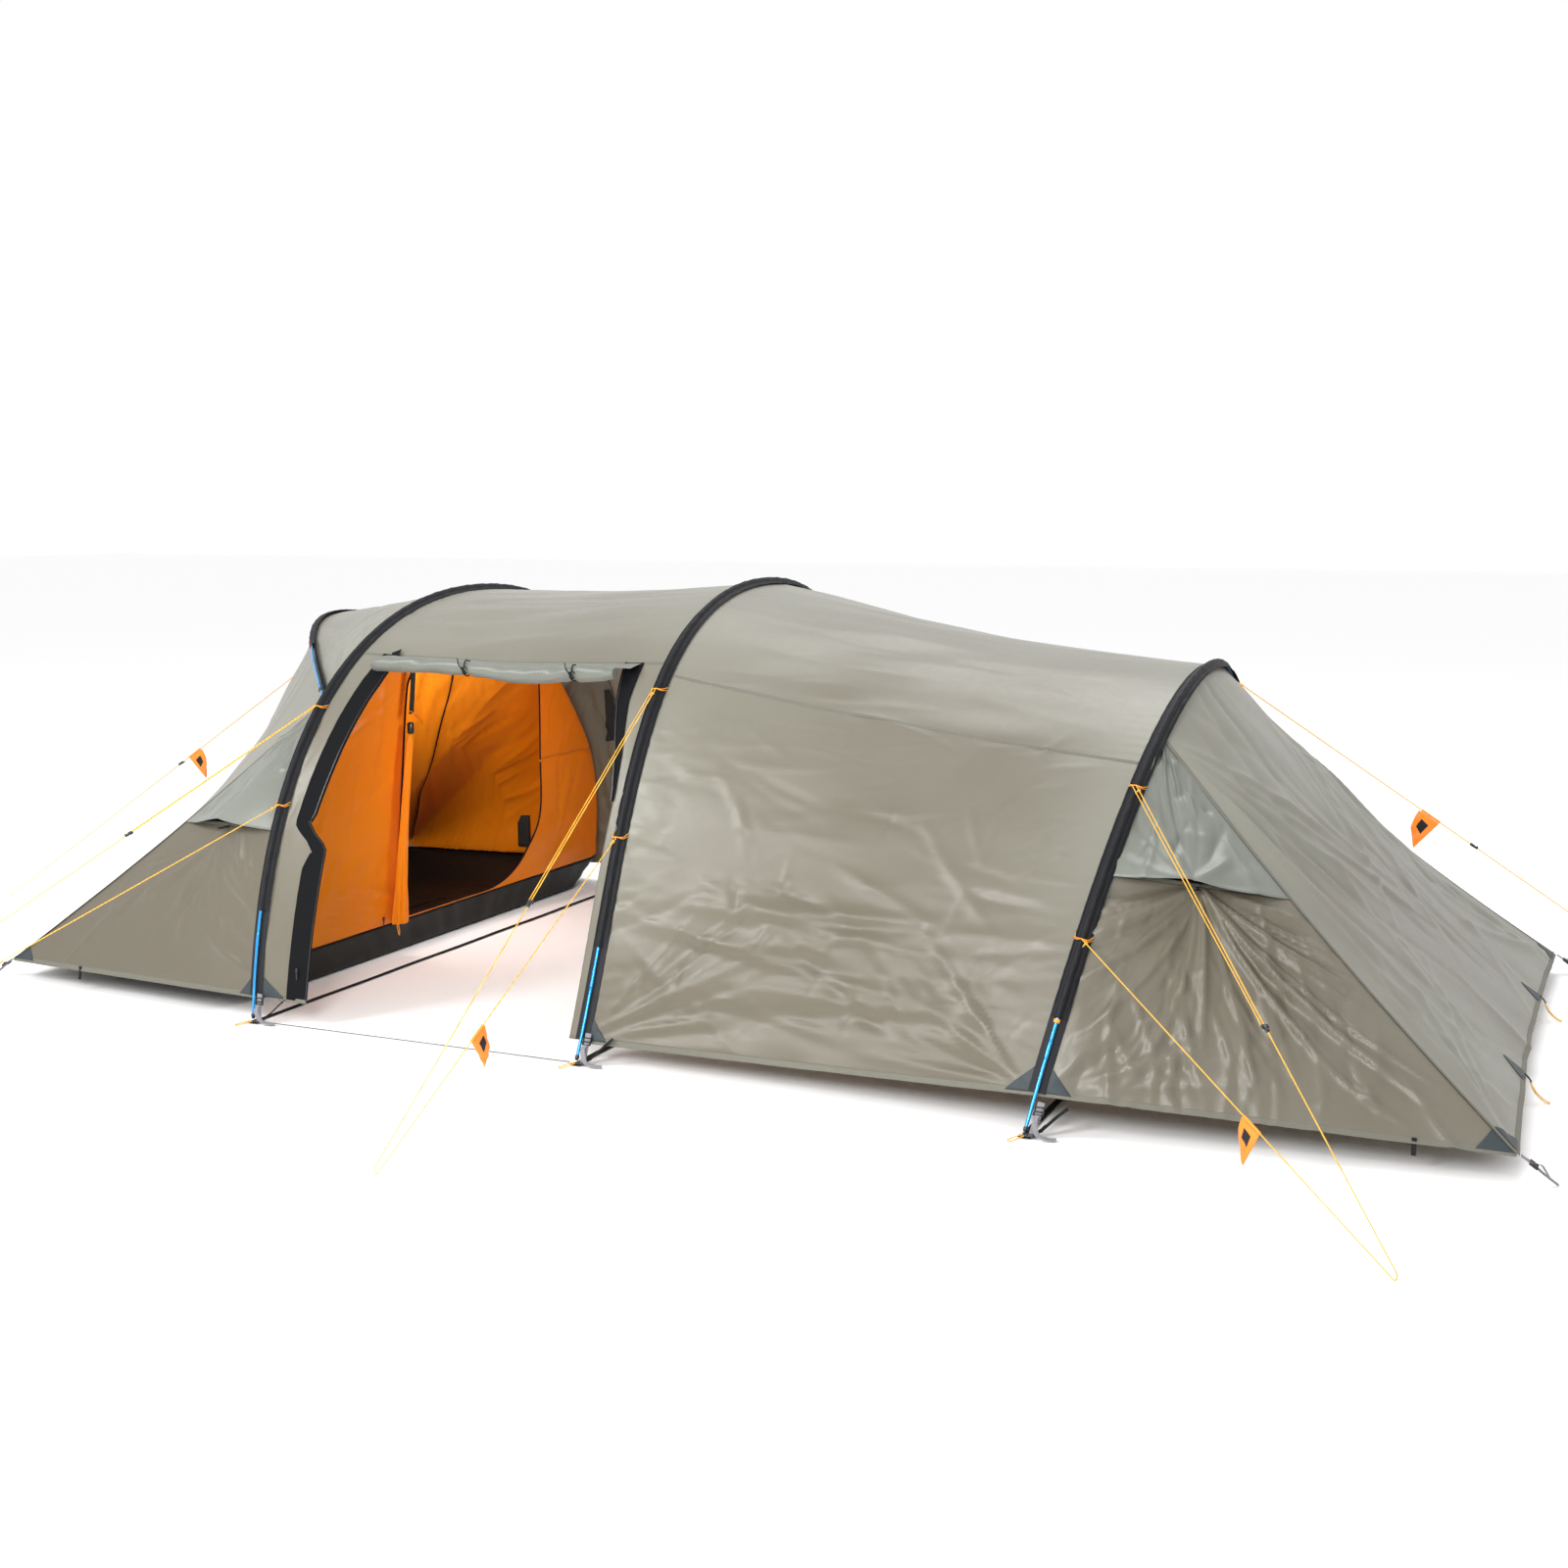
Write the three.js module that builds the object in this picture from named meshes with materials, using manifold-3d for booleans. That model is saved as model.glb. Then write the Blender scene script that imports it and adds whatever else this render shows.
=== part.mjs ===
// A three-hoop tunnel tent with a side door, an inner tent and two tapering ends.
// Millimetres, +Z up, +X towards the front end, the side door on -Y.
// Lengths along the tent are counted from the foot of the rear hoop. The last lines move
// the whole tent, so that its origin is the middle of its footprint on the ground.

import * as THREE from 'three';
import { ConvexGeometry } from 'three/addons/geometries/ConvexGeometry.js';
import { mergeVertices } from 'three/addons/utils/BufferGeometryUtils.js';
import Module from 'manifold-3d';

const wasm = await Module();
wasm.setup();

// ---- driving dimensions -------------------------------------------------------------

// Each arch stands in a leaning plane: place of its foot line, half its width there,
// its rise along the plane, its lean, the angle of its legs, and how long the two
// handles of each half-curve are.
const ARCHES = {
  a: { x: 0, z: 0, halfWidth: 1570, rise: 1651, lean: 2.2, legAngle: 87.7, legPull: 0.62, crownPull: 0.66 },
  b: { x: 1440, z: 0, halfWidth: 1542, rise: 1701, lean: 1.7, legAngle: 66, legPull: 0.51, crownPull: 0.76 },
  c: { x: 3155, z: 0, halfWidth: 1641, rise: 1433, lean: 9, legAngle: 67, legPull: 0.52, crownPull: 0.52 },
  brow: {
    x: 46, z: 1219, halfWidth: 1120, rise: 821, lean: -68.9, legAngle: 44, legPull: 0.5, crownPull: 0.3,
  },
};

const FRONT = { x: 4620, halfWidth: 1417, hem: 85, strapEnd: 4745 };
const REAR = { x: -1405, halfWidth: 1415, hem: 85, strapEnd: -1530 };
const HEM = { a: 105, b: 85, c: 135 };

const POLE_RADIUS = 6;
const POLE_SIDES = 8;
const POLE_STATIONS = 36;
const FOOT_TRIM = 16;
const SLEEVE = { halfWidth: 30, halfHeight: 9, crown: 9, edge: 3, bore: 7.6, stationsShort: 3 };
const BROW = { trim: 66, stations: 24, stationsShort: 6, halfWidth: 18 };

const CLOTH = 2;
const CLOTH_DEPTH = 15;
const SEAM_GAP = 1.5;
const RIDGE_GAP = 8;

const ROOF_EDGE = { doorTop: 1420, b: 1380, c: 1130, front: 1220 };
const SAG = { mid: 20, main: 45, mainSide: 20, nose: 55, rear: 25 };
const HOOD = { frontFoot: 800, frontRidge: 0.4, rearFoot: 757, rearRidge: 0.44, bulge: 75 };

const DOOR = {
  footJamb: 200, kinkJamb: 88, topJamb: 143, kink: 662, kinkRun: 80, frontTop: 125, frontFoot: 60,
};
const ROLL = { radius: 33, z: 1372, y: -968, start: 205, end: 1270 };

const INNER = { x: -200, rearX: -1275, halfWidth: 1480, rearHalfWidth: 1285, tub: 142, lean: 0.09 };
const TUB = { sheet: 3, sideSlope: 260, rearSlope: 90 };

const WEBBING = { width: 24, thickness: 3 };
const CORD_RADIUS = 2;
const CORD_SIDES = 8;

// ---- colours ------------------------------------------------------------------------

function makeMaterial(color, roughness, metalness = 0) {
  return new THREE.MeshStandardMaterial({ color, roughness, metalness });
}

const MATERIALS = {
  fly: makeMaterial(0x9a9789, 0.6),
  hood: makeMaterial(0xa5aa9e, 0.6),
  sleeve: makeMaterial(0x2d2e32, 0.8),
  inner: makeMaterial(0xeb870a, 0.6),
  tub: makeMaterial(0x191614, 0.5),
  pole: makeMaterial(0x2d96d7, 0.3, 0.7),
  webbing: makeMaterial(0x7d7a80, 0.9),
  strap: makeMaterial(0x151515, 0.9),
  guy: makeMaterial(0xf5af3c, 0.7),
  cord: makeMaterial(0x8a8a8c, 0.8),
  plastic: makeMaterial(0x101010, 0.4),
  bag: makeMaterial(0xff8c0a, 0.7),
};

const tent = new THREE.Group();

function addPart(name, geometry, material) {
  const mesh = new THREE.Mesh(geometry, material);
  mesh.name = name;
  tent.add(mesh);
  return mesh;
}

// ---- solids -------------------------------------------------------------------------

function bareCopy(geometry) {
  const copy = geometry.clone();
  copy.deleteAttribute('normal');
  copy.deleteAttribute('uv');
  return mergeVertices(copy, 1e-4);
}

function toSolid(geometry) {
  const merged = bareCopy(geometry);
  const vertProperties = new Float32Array(merged.attributes.position.array);
  const triVerts = new Uint32Array(merged.index.array);
  return new wasm.Manifold(new wasm.Mesh({ numProp: 3, vertProperties, triVerts }));
}

function toGeometry(solid) {
  const mesh = solid.getMesh();
  const geometry = new THREE.BufferGeometry();
  geometry.setAttribute('position', new THREE.BufferAttribute(new Float32Array(mesh.vertProperties), 3));
  geometry.setIndex(new THREE.BufferAttribute(new Uint32Array(mesh.triVerts), 1));
  geometry.computeVertexNormals();
  return geometry;
}

function join(geometries) {
  const solids = geometries.map(toSolid);
  return toGeometry(solids.reduce((sum, next) => sum.add(next)));
}

function box(width, depth, height, x, y, z) {
  return new THREE.BoxGeometry(width, depth, height).translate(x, y, z);
}

// A thin closed sheet: surface(u, v) gives its middle, for u and v from 0 to 1. Both
// faces are split along the same diagonals, so that a twisted sheet keeps its thickness.
function sheet(surface, stepsU, stepsV, thickness = CLOTH) {
  const grid = new THREE.PlaneGeometry(1, 1, stepsU, stepsV);
  const count = grid.attributes.position.count;
  const points = [];
  for (const face of [0.5, -0.5]) {
    for (let i = 0; i < count; i += 1) {
      const u = grid.attributes.position.getX(i) + 0.5;
      const v = grid.attributes.position.getY(i) + 0.5;
      points.push(surface(u, v).addScaledVector(sheetNormal(surface, u, v), face * thickness));
    }
  }
  const geometry = new THREE.BufferGeometry().setFromPoints(points);
  const top = Array.from(grid.index.array);
  const bottom = top.map((index) => index + count).reverse();
  geometry.setIndex([...top, ...bottom, ...sheetRim(stepsU, stepsV, count)]);
  geometry.computeVertexNormals();
  return geometry;
}

function sheetNormal(surface, u, v) {
  const step = 1e-3;
  const alongU = surface(Math.min(u + step, 1), v).sub(surface(Math.max(u - step, 0), v));
  const alongV = surface(u, Math.min(v + step, 1)).sub(surface(u, Math.max(v - step, 0)));
  return alongU.cross(alongV).normalize();
}

// The strip of faces round a sheet's edge, between its two layers of points.
function sheetRim(stepsU, stepsV, count) {
  const row = stepsU + 1;
  const edge = [];
  for (let i = 0; i < stepsU; i += 1) edge.push(i);
  for (let j = 0; j < stepsV; j += 1) edge.push(j * row + stepsU);
  for (let i = stepsU; i > 0; i -= 1) edge.push(stepsV * row + i);
  for (let j = stepsV; j > 0; j -= 1) edge.push(j * row);
  return edge.flatMap((from, i) => {
    const to = edge[(i + 1) % edge.length];
    return [from, to, to + count, from, to + count, from + count];
  });
}

function polygon(sides, radius) {
  const turn = (i) => ((i + 0.5) / sides) * 2 * Math.PI;
  return Array.from({ length: sides }, (_, i) => (
    new THREE.Vector2(radius * Math.cos(turn(i)), radius * Math.sin(turn(i)))
  ));
}

function mix(from, to, share) {
  return from + (to - from) * share;
}

// ---- arches -------------------------------------------------------------------------

// One arch in its own upright plane, x = 0, with stations evenly spaced along it.
class Arch extends THREE.Curve {
  constructor(spec, trim) {
    super();
    const reach = spec.legPull * spec.rise;
    const angle = THREE.MathUtils.degToRad(spec.legAngle);
    const foot = new THREE.Vector3(0, -spec.halfWidth, 0);
    const leg = new THREE.Vector3(0, Math.cos(angle) * reach - spec.halfWidth, Math.sin(angle) * reach);
    const crown = new THREE.Vector3(0, -spec.crownPull * spec.halfWidth, spec.rise);
    const top = new THREE.Vector3(0, 0, spec.rise);
    const mirror = (point) => new THREE.Vector3(0, -point.y, point.z);
    this.spec = spec;
    this.path = new THREE.CurvePath();
    this.path.add(new THREE.CubicBezierCurve3(foot, leg, crown, top));
    this.path.add(new THREE.CubicBezierCurve3(top, mirror(crown), mirror(leg), mirror(foot)));
    this.trim = trim / this.path.getLength();
    this.lean = THREE.MathUtils.degToRad(spec.lean);
  }

  getPoint(u) {
    return this.path.getPoint(mix(this.trim, 1 - this.trim, u));
  }

  // A point of the tent at u along the arch, moved outwards in the arch's plane and
  // sideways off that plane.
  place(u, out, aside) {
    const point = this.getPoint(u);
    const tangent = this.getTangent(u);
    const outward = new THREE.Vector3(aside, point.y - tangent.z * out, point.z + tangent.y * out);
    outward.applyAxisAngle(new THREE.Vector3(0, 1, 0), this.lean);
    return outward.add(new THREE.Vector3(this.spec.x, 0, this.spec.z));
  }

  // Where the near leg reaches a height above the ground.
  atHeight(height) {
    let low = 0;
    let high = 0.5;
    for (let i = 0; i < 40; i += 1) {
      const middle = (low + high) / 2;
      if (this.place(middle, 0, 0).z < height) low = middle;
      else high = middle;
    }
    return low;
  }
}

// A stretch of an arch between two shares of its length.
class ArchStretch extends THREE.Curve {
  constructor(arch, from, to) {
    super();
    this.arch = arch;
    this.from = from;
    this.to = to;
  }

  getPoint(u) {
    return this.arch.getPoint(mix(this.from, this.to, u));
  }
}

const arches = {
  a: new Arch(ARCHES.a, FOOT_TRIM),
  b: new Arch(ARCHES.b, FOOT_TRIM),
  c: new Arch(ARCHES.c, FOOT_TRIM),
  brow: new Arch(ARCHES.brow, BROW.trim),
};

function standOnPlane(mesh, arch) {
  mesh.rotation.y = arch.lean;
  mesh.position.set(arch.spec.x, 0, arch.spec.z);
}

function addPole(name, arch, stations) {
  const section = new THREE.Shape(polygon(POLE_SIDES, POLE_RADIUS));
  const options = { steps: stations, extrudePath: new ArchStretch(arch, 0, 1) };
  standOnPlane(addPart(name, new THREE.ExtrudeGeometry(section, options), MATERIALS.pole), arch);
}

// A flat band with a round channel for the pole, open at both ends.
function addSleeve(name, arch, stations, short, halfWidth) {
  const { halfHeight, crown, edge, bore } = SLEEVE;
  const section = new THREE.Shape([
    new THREE.Vector2(-halfWidth, halfHeight),
    new THREE.Vector2(-halfWidth, halfHeight - edge),
    new THREE.Vector2(-crown, -halfHeight),
    new THREE.Vector2(crown, -halfHeight),
    new THREE.Vector2(halfWidth, halfHeight - edge),
    new THREE.Vector2(halfWidth, halfHeight),
  ]);
  section.holes.push(new THREE.Path(polygon(POLE_SIDES, bore)));
  const path = new ArchStretch(arch, short / stations, 1 - short / stations);
  const options = { steps: stations - 2 * short, extrudePath: path };
  standOnPlane(addPart(name, new THREE.ExtrudeGeometry(section, options), MATERIALS.sleeve), arch);
}

for (const key of ['a', 'b', 'c']) {
  addPole(`pole_${key}`, arches[key], POLE_STATIONS);
  addSleeve(`sleeve_${key}`, arches[key], POLE_STATIONS, SLEEVE.stationsShort, SLEEVE.halfWidth);
}
addPole('pole_brow', arches.brow, BROW.stations);
addSleeve('sleeve_brow', arches.brow, BROW.stations, BROW.stationsShort, BROW.halfWidth);

// ---- fly sheet ----------------------------------------------------------------------

function clothAt(arch, u, aside) {
  return arch.place(u, -CLOTH_DEPTH, aside);
}

// Cloth stretched from one arch to the next; it pulls inwards between them.
function between(rear, front, rearSpan, frontSpan, sag) {
  return (u, v) => {
    const uRear = mix(rearSpan[0], rearSpan[1], u);
    const uFront = mix(frontSpan[0], frontSpan[1], u);
    const depth = sag * Math.sin(Math.PI * v);
    const start = rear.place(uRear, -CLOTH_DEPTH - depth, SEAM_GAP);
    const end = front.place(uFront, -CLOTH_DEPTH - depth, -SEAM_GAP);
    return start.lerp(end, v);
  };
}

const hemU = { a: arches.a.atHeight(HEM.a), b: arches.b.atHeight(HEM.b), c: arches.c.atHeight(HEM.c) };
const doorTopU = { a: arches.a.atHeight(ROOF_EDGE.doorTop), b: arches.b.atHeight(ROOF_EDGE.doorTop) };
const eaveU = { b: arches.b.atHeight(ROOF_EDGE.b), c: arches.c.atHeight(ROOF_EDGE.c) };
const SLIT = 0.0005;

// Section between the rear hoop and the middle hoop, with the doorway on the near side.
addPart('fly_mid_roof', sheet(between(
  arches.a, arches.b, [doorTopU.a, 1 - hemU.a], [doorTopU.b, 1 - hemU.b], SAG.mid,
), 22, 3), MATERIALS.fly);

const nearWall = between(
  arches.a, arches.b, [hemU.a, doorTopU.a - SLIT], [hemU.b, doorTopU.b - SLIT], SAG.mid,
);
const doorSpan = ARCHES.b.x - ARCHES.a.x;

// The strip behind the doorway is widest below its kink, narrowest just above the kink,
// and widens again towards the roof.
function rearJamb(u, v) {
  const height = mix(HEM.a, ROOF_EDGE.doorTop, u);
  const pastKink = THREE.MathUtils.clamp((height - DOOR.kink) / DOOR.kinkRun + 0.5, 0, 1);
  const toTop = THREE.MathUtils.clamp((height - DOOR.kink) / (ROOF_EDGE.doorTop - DOOR.kink), 0, 1);
  const width = mix(DOOR.footJamb, mix(DOOR.kinkJamb, DOOR.topJamb, toTop), pastKink);
  return nearWall(u, (v * width) / doorSpan);
}
addPart('fly_door_jamb_rear', sheet(rearJamb, 14, 1), MATERIALS.fly);

function frontJamb(u, v) {
  const width = mix(DOOR.frontFoot, DOOR.frontTop, u);
  return nearWall(u, 1 - ((1 - v) * width) / doorSpan);
}
addPart('fly_door_jamb_front', sheet(frontJamb, 12, 1), MATERIALS.fly);

// Section between the middle hoop and the front hoop.
addPart('fly_main_roof', sheet(between(
  arches.b, arches.c, [eaveU.b, 1 - eaveU.b], [eaveU.c, 1 - eaveU.c], SAG.main,
), 12, 5), MATERIALS.fly);
addPart('fly_main_side_near', sheet(between(
  arches.b, arches.c, [hemU.b, eaveU.b - SLIT], [hemU.c, eaveU.c - SLIT], SAG.mainSide,
), 8, 5), MATERIALS.fly);
addPart('fly_main_side_far', sheet(between(
  arches.b, arches.c, [1 - eaveU.b + SLIT, 1 - hemU.b], [1 - eaveU.c + SLIT, 1 - hemU.c], SAG.mainSide,
), 8, 5), MATERIALS.fly);

// The two ends. Each has a crease from its arch down to the peg at each corner.
const ends = {
  front: {
    arch: arches.c, aside: SEAM_GAP, top: arches.c.atHeight(ROOF_EDGE.front), hem: hemU.c,
    corner: new THREE.Vector3(FRONT.x, -FRONT.halfWidth, FRONT.hem), sag: SAG.nose,
    hoodFoot: arches.c.atHeight(HOOD.frontFoot), hoodRidge: HOOD.frontRidge,
  },
  rear: {
    arch: arches.a, aside: -SEAM_GAP, top: arches.a.atHeight(ARCHES.brow.z - 20), hem: hemU.a,
    corner: new THREE.Vector3(REAR.x, -REAR.halfWidth, REAR.hem), sag: SAG.rear,
    hoodFoot: arches.a.atHeight(HOOD.rearFoot), hoodRidge: HOOD.rearRidge,
  },
};

ends.front.creaseTop = clothAt(arches.c, ends.front.top, SEAM_GAP);
ends.rear.creaseTop = arches.brow.place(0, -CLOTH_DEPTH, 0);

function creasePoint(end, share) {
  const point = end.creaseTop.clone().lerp(end.corner, share);
  const drop = end.sag * Math.sin(Math.PI * share);
  point.z -= drop * 0.8;
  point.y += drop * 0.4;
  return point;
}

// The side of an end between its arch and its crease.
function endSide(end, archSpan, creaseSpan, bulge) {
  return (u, v) => {
    const start = clothAt(end.arch, mix(archSpan[0], archSpan[1], u), end.aside);
    const finish = creasePoint(end, mix(creaseSpan[0], creaseSpan[1], u));
    finish.y -= RIDGE_GAP / 2;
    finish.z -= RIDGE_GAP;
    const point = start.lerp(finish, v);
    point.y -= bulge * Math.sin(Math.PI * v) * (1 - u) ** 2;
    return point;
  };
}

function mirrored(surface) {
  return (u, v) => {
    const point = surface(u, v);
    point.y = -point.y;
    return point;
  };
}

const vents = {};
for (const [key, end] of Object.entries(ends)) {
  const lower = endSide(end, [end.hem, end.hoodFoot - SLIT * 4], [1, end.hoodRidge + 0.01], 0);
  const hood = endSide(end, [end.hoodFoot, end.top - 0.006], [end.hoodRidge, 0.03], HOOD.bulge);
  const whole = endSide(end, [end.hem, end.top - 0.006], [1, 0.03], 0);
  addPart(`fly_${key}_side_near`, sheet(lower, 6, 5), MATERIALS.fly);
  addPart(`vent_hood_${key}`, sheet(hood, 5, 6), MATERIALS.hood);
  addPart(`fly_${key}_side_far`, sheet(mirrored(whole), 10, 5), MATERIALS.fly);
  vents[key] = { lower, hood };
}

function hemLine(end, share) {
  const bow = 30 * Math.sin(Math.PI * share);
  const y = mix(end.corner.y, -end.corner.y, share);
  return new THREE.Vector3(end.corner.x - Math.sign(end.corner.x) * bow, y, end.corner.z);
}

// A sloping end panel from an arch down to the hem between the two corners.
function slope(end, arch, span, aside, sag) {
  return (u, v) => {
    const start = clothAt(arch, mix(span[0], span[1], u), aside);
    const point = start.lerp(hemLine(end, u), v);
    const drop = sag * Math.sin(Math.PI * v);
    point.z -= drop * 0.8;
    point.y += drop * 0.4 * (1 - 2 * u);
    return point;
  };
}

addPart('fly_front_slope', sheet(slope(
  ends.front, arches.c, [ends.front.top, 1 - ends.front.top], SEAM_GAP, SAG.nose,
), 12, 6), MATERIALS.fly);

const browStart = 0.005;
addPart('fly_rear_slope', sheet(slope(
  ends.rear, arches.brow, [browStart, 1 - browStart], -SEAM_GAP, SAG.rear,
), 14, 5), MATERIALS.fly);

// The short roof between the rear hoop and the brow pole behind it.
function rearRoof(u, v) {
  const spanA = ends.rear.top + 0.012;
  const start = arches.brow.place(mix(0.03, 0.97, u), -CLOTH_DEPTH, SEAM_GAP);
  const finish = clothAt(arches.a, mix(spanA, 1 - spanA, u), -SEAM_GAP);
  return start.lerp(finish, v);
}
addPart('fly_rear_roof', sheet(rearRoof, 16, 3), MATERIALS.fly);

// ---- vent props ---------------------------------------------------------------------

// A short stay that stands out from the panel and holds the hood's lower edge open. It
// turns on a round barrel just off the panel, and its origin is that barrel's middle.
const PROP = { width: 12, thickness: 3, barrel: 4, barrelLength: 20, off: 14, rise: 6, clear: 8 };

function addVentProp(key) {
  const foot = vents[key].lower(1, 0.5);
  const edge = vents[key].hood(0, 0.5);
  const length = edge.distanceTo(foot) - PROP.off - PROP.clear;
  const stay = box(PROP.width, length, PROP.thickness, 0, -length / 2, 0);
  const barrel = new THREE.CylinderGeometry(PROP.barrel, PROP.barrel, PROP.barrelLength, 24);
  barrel.rotateZ(Math.PI / 2);
  const mesh = addPart(`vent_prop_${key}`, join([stay, barrel]), MATERIALS.plastic);
  mesh.position.copy(foot).add(new THREE.Vector3(0, -PROP.off, PROP.rise));
}
addVentProp('front');
addVentProp('rear');

// ---- side door ----------------------------------------------------------------------

function rollProfile() {
  const half = (ROLL.end - ROLL.start) / 2;
  return [
    new THREE.Vector2(0, -half),
    new THREE.Vector2(ROLL.radius * 0.8, -half),
    new THREE.Vector2(ROLL.radius, -half * 0.9),
    new THREE.Vector2(ROLL.radius * 0.9, 0),
    new THREE.Vector2(ROLL.radius, half * 0.9),
    new THREE.Vector2(ROLL.radius * 0.8, half),
    new THREE.Vector2(0, half),
  ];
}
const roll = addPart('door_roll', new THREE.LatheGeometry(rollProfile(), 12), MATERIALS.hood);
roll.rotation.z = -Math.PI / 2;
roll.position.set((ROLL.start + ROLL.end) / 2, ROLL.y, ROLL.z);

// A zip slider with its pull tab hanging under it.
function zipSlider() {
  const body = box(12, 6, 18, 0, 0, 0);
  const tab = box(7, 3, 34, 0, -1, -22);
  return join([body, tab]);
}
const DOOR_SLIDER = { share: 0.06, offset: new THREE.Vector3(-20, -9, 30) };
const doorSlider = addPart('door_zip_slider', zipSlider(), MATERIALS.plastic);
doorSlider.position.copy(rearJamb(DOOR_SLIDER.share, 1)).add(DOOR_SLIDER.offset);

// ---- inner tent ---------------------------------------------------------------------

// Four corners of the tub at one level; its sides and rear slope outwards up to their rim.
function tubCorners(inset, share, z) {
  const frontY = INNER.halfWidth - inset - TUB.sideSlope * (1 - share);
  const rearY = INNER.rearHalfWidth - inset - TUB.sideSlope * (1 - share);
  const rearX = INNER.rearX + inset + TUB.rearSlope * (1 - share);
  return [
    new THREE.Vector3(INNER.x - inset, -frontY, z), new THREE.Vector3(INNER.x - inset, frontY, z),
    new THREE.Vector3(rearX, rearY, z), new THREE.Vector3(rearX, -rearY, z),
  ];
}

function tubShell(inset, floor) {
  const corners = [...tubCorners(inset, 0, floor), ...tubCorners(inset, 1, INNER.tub + floor)];
  return new ConvexGeometry(corners);
}
const tubHollow = toSolid(tubShell(TUB.sheet, TUB.sheet));
addPart('inner_tub', toGeometry(toSolid(tubShell(0, 0)).subtract(tubHollow)), MATERIALS.tub);

// Half of the front wall's outline, from the tub up to the middle of the roof.
const WALL_HALF = [
  [-1460, 146], [-1425, 470], [-1320, 740], [-1090, 1010], [-800, 1270], [-430, 1450], [0, 1530],
];

const INNER_DOOR = {
  left: -370, sill: 160, lowEnd: 430, top: 1340, right: { low: 838, lowZ: 470, high: 745, highZ: 1165 },
};

function wallPoint(share) {
  const points = WALL_HALF.concat(WALL_HALF.slice(0, -1).reverse().map(([y, z]) => [-y, z]));
  const place = share * (points.length - 1);
  const index = Math.min(Math.floor(place), points.length - 2);
  const [y0, z0] = points[index];
  const [y1, z1] = points[index + 1];
  return new THREE.Vector2(mix(y0, y1, place - index), mix(z0, z1, place - index));
}

function innerWall() {
  const corners = (WALL_HALF.length - 1) * 2;
  const points = Array.from({ length: corners + 1 }, (_, i) => wallPoint(i / corners));
  const wall = new THREE.Shape(points);
  // The doorway: a straight closed side, a round lower corner and an arched top.
  const { left, sill, lowEnd, right, top } = INNER_DOOR;
  const opening = new THREE.Path();
  opening.moveTo(left, sill);
  opening.lineTo(lowEnd, sill);
  opening.quadraticCurveTo(right.low - 78, sill + 40, right.low, right.lowZ);
  opening.lineTo(right.high, right.highZ);
  opening.quadraticCurveTo(right.high - 55, top - 10, lowEnd - 130, top);
  opening.lineTo(left + 120, top - 40);
  opening.quadraticCurveTo(left, top - 50, left, right.highZ);
  opening.lineTo(left, sill);
  wall.holes.push(opening);
  const geometry = new THREE.ExtrudeGeometry(wall, { depth: CLOTH, bevelEnabled: false, curveSegments: 6 });
  // The outline's two axes are Y and Z of the tent; the wall then leans forwards.
  const turn = new THREE.Matrix4().set(0, INNER.lean, 1, INNER.x, 1, 0, 0, 0, 0, 1, 0, 0, 0, 0, 0, 1);
  return geometry.applyMatrix4(turn);
}
addPart('inner_front_wall', innerWall(), MATERIALS.inner);

// The canopy runs from the front wall over the brow to the tub's rear edge.
const CANOPY = { sideShare: 0.25, browShare: 1 / 3, inset: 90, drop: 60, spread: 30, sag: 35 };

function canopyRear(share) {
  const { sideShare, spread } = CANOPY;
  const side = THREE.MathUtils.clamp(Math.min(share, 1 - share) / sideShare, 0, 1);
  const across = THREE.MathUtils.clamp((share - sideShare) / (1 - 2 * sideShare), 0, 1);
  const y = mix(-INNER.rearHalfWidth, INNER.rearHalfWidth, across);
  return new THREE.Vector3(INNER.rearX, y, INNER.tub + 5 + spread * side);
}

function canopyLine(u, v) {
  const outline = wallPoint(u);
  const start = new THREE.Vector3(INNER.x - 4 + INNER.lean * outline.y, outline.x * 0.995, outline.y);
  const finish = canopyRear(u);
  const { browShare, inset, drop } = CANOPY;
  if (u <= browShare || u >= 1 - browShare) return start.lerp(finish, v);
  const across = (u - browShare) / (1 - 2 * browShare);
  const brow = arches.brow.place(mix(0.15, 0.85, across), -inset, 0);
  brow.z -= drop;
  const bend = Math.min(0.48 * Math.sin(Math.PI * across) + 0.1, 0.45);
  if (v < bend) return start.lerp(brow, v / bend);
  return brow.lerp(finish, (v - bend) / (1 - bend));
}

function canopy(u, v) {
  const point = canopyLine(u, v);
  const inwards = CANOPY.sag * Math.sin(Math.PI * v);
  point.z -= inwards * Math.sin(Math.PI * u);
  point.y += inwards * Math.cos(Math.PI * u);
  return point;
}
addPart('inner_canopy', sheet(canopy, 24, 8), MATERIALS.inner);

// The open door of the inner tent, gathered and hanging beside its opening. Each level is
// a height and how full the bundle is there.
const FLAP = { y: -385, off: 46, halfWidth: 34, halfDepth: 22, sides: 10 };
const FLAP_LEVELS = [[150, 1.25], [420, 1], [980, 0.85], [1040, 0.55], [1130, 0.8], [1270, 0.6]];

function addFlap() {
  const steps = FLAP_LEVELS.length - 1;
  const geometry = bareCopy(new THREE.CylinderGeometry(1, 1, 1, FLAP.sides, steps));
  const position = geometry.attributes.position;
  for (let i = 0; i < position.count; i += 1) {
    const [z, size] = FLAP_LEVELS[Math.round((position.getY(i) + 0.5) * steps)];
    const x = INNER.x + INNER.lean * z + FLAP.off + position.getX(i) * FLAP.halfDepth * size;
    position.setXYZ(i, x, FLAP.y - position.getZ(i) * FLAP.halfWidth * size, z);
  }
  addPart('inner_door_flap', geometry, MATERIALS.inner);
}
addFlap();

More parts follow.
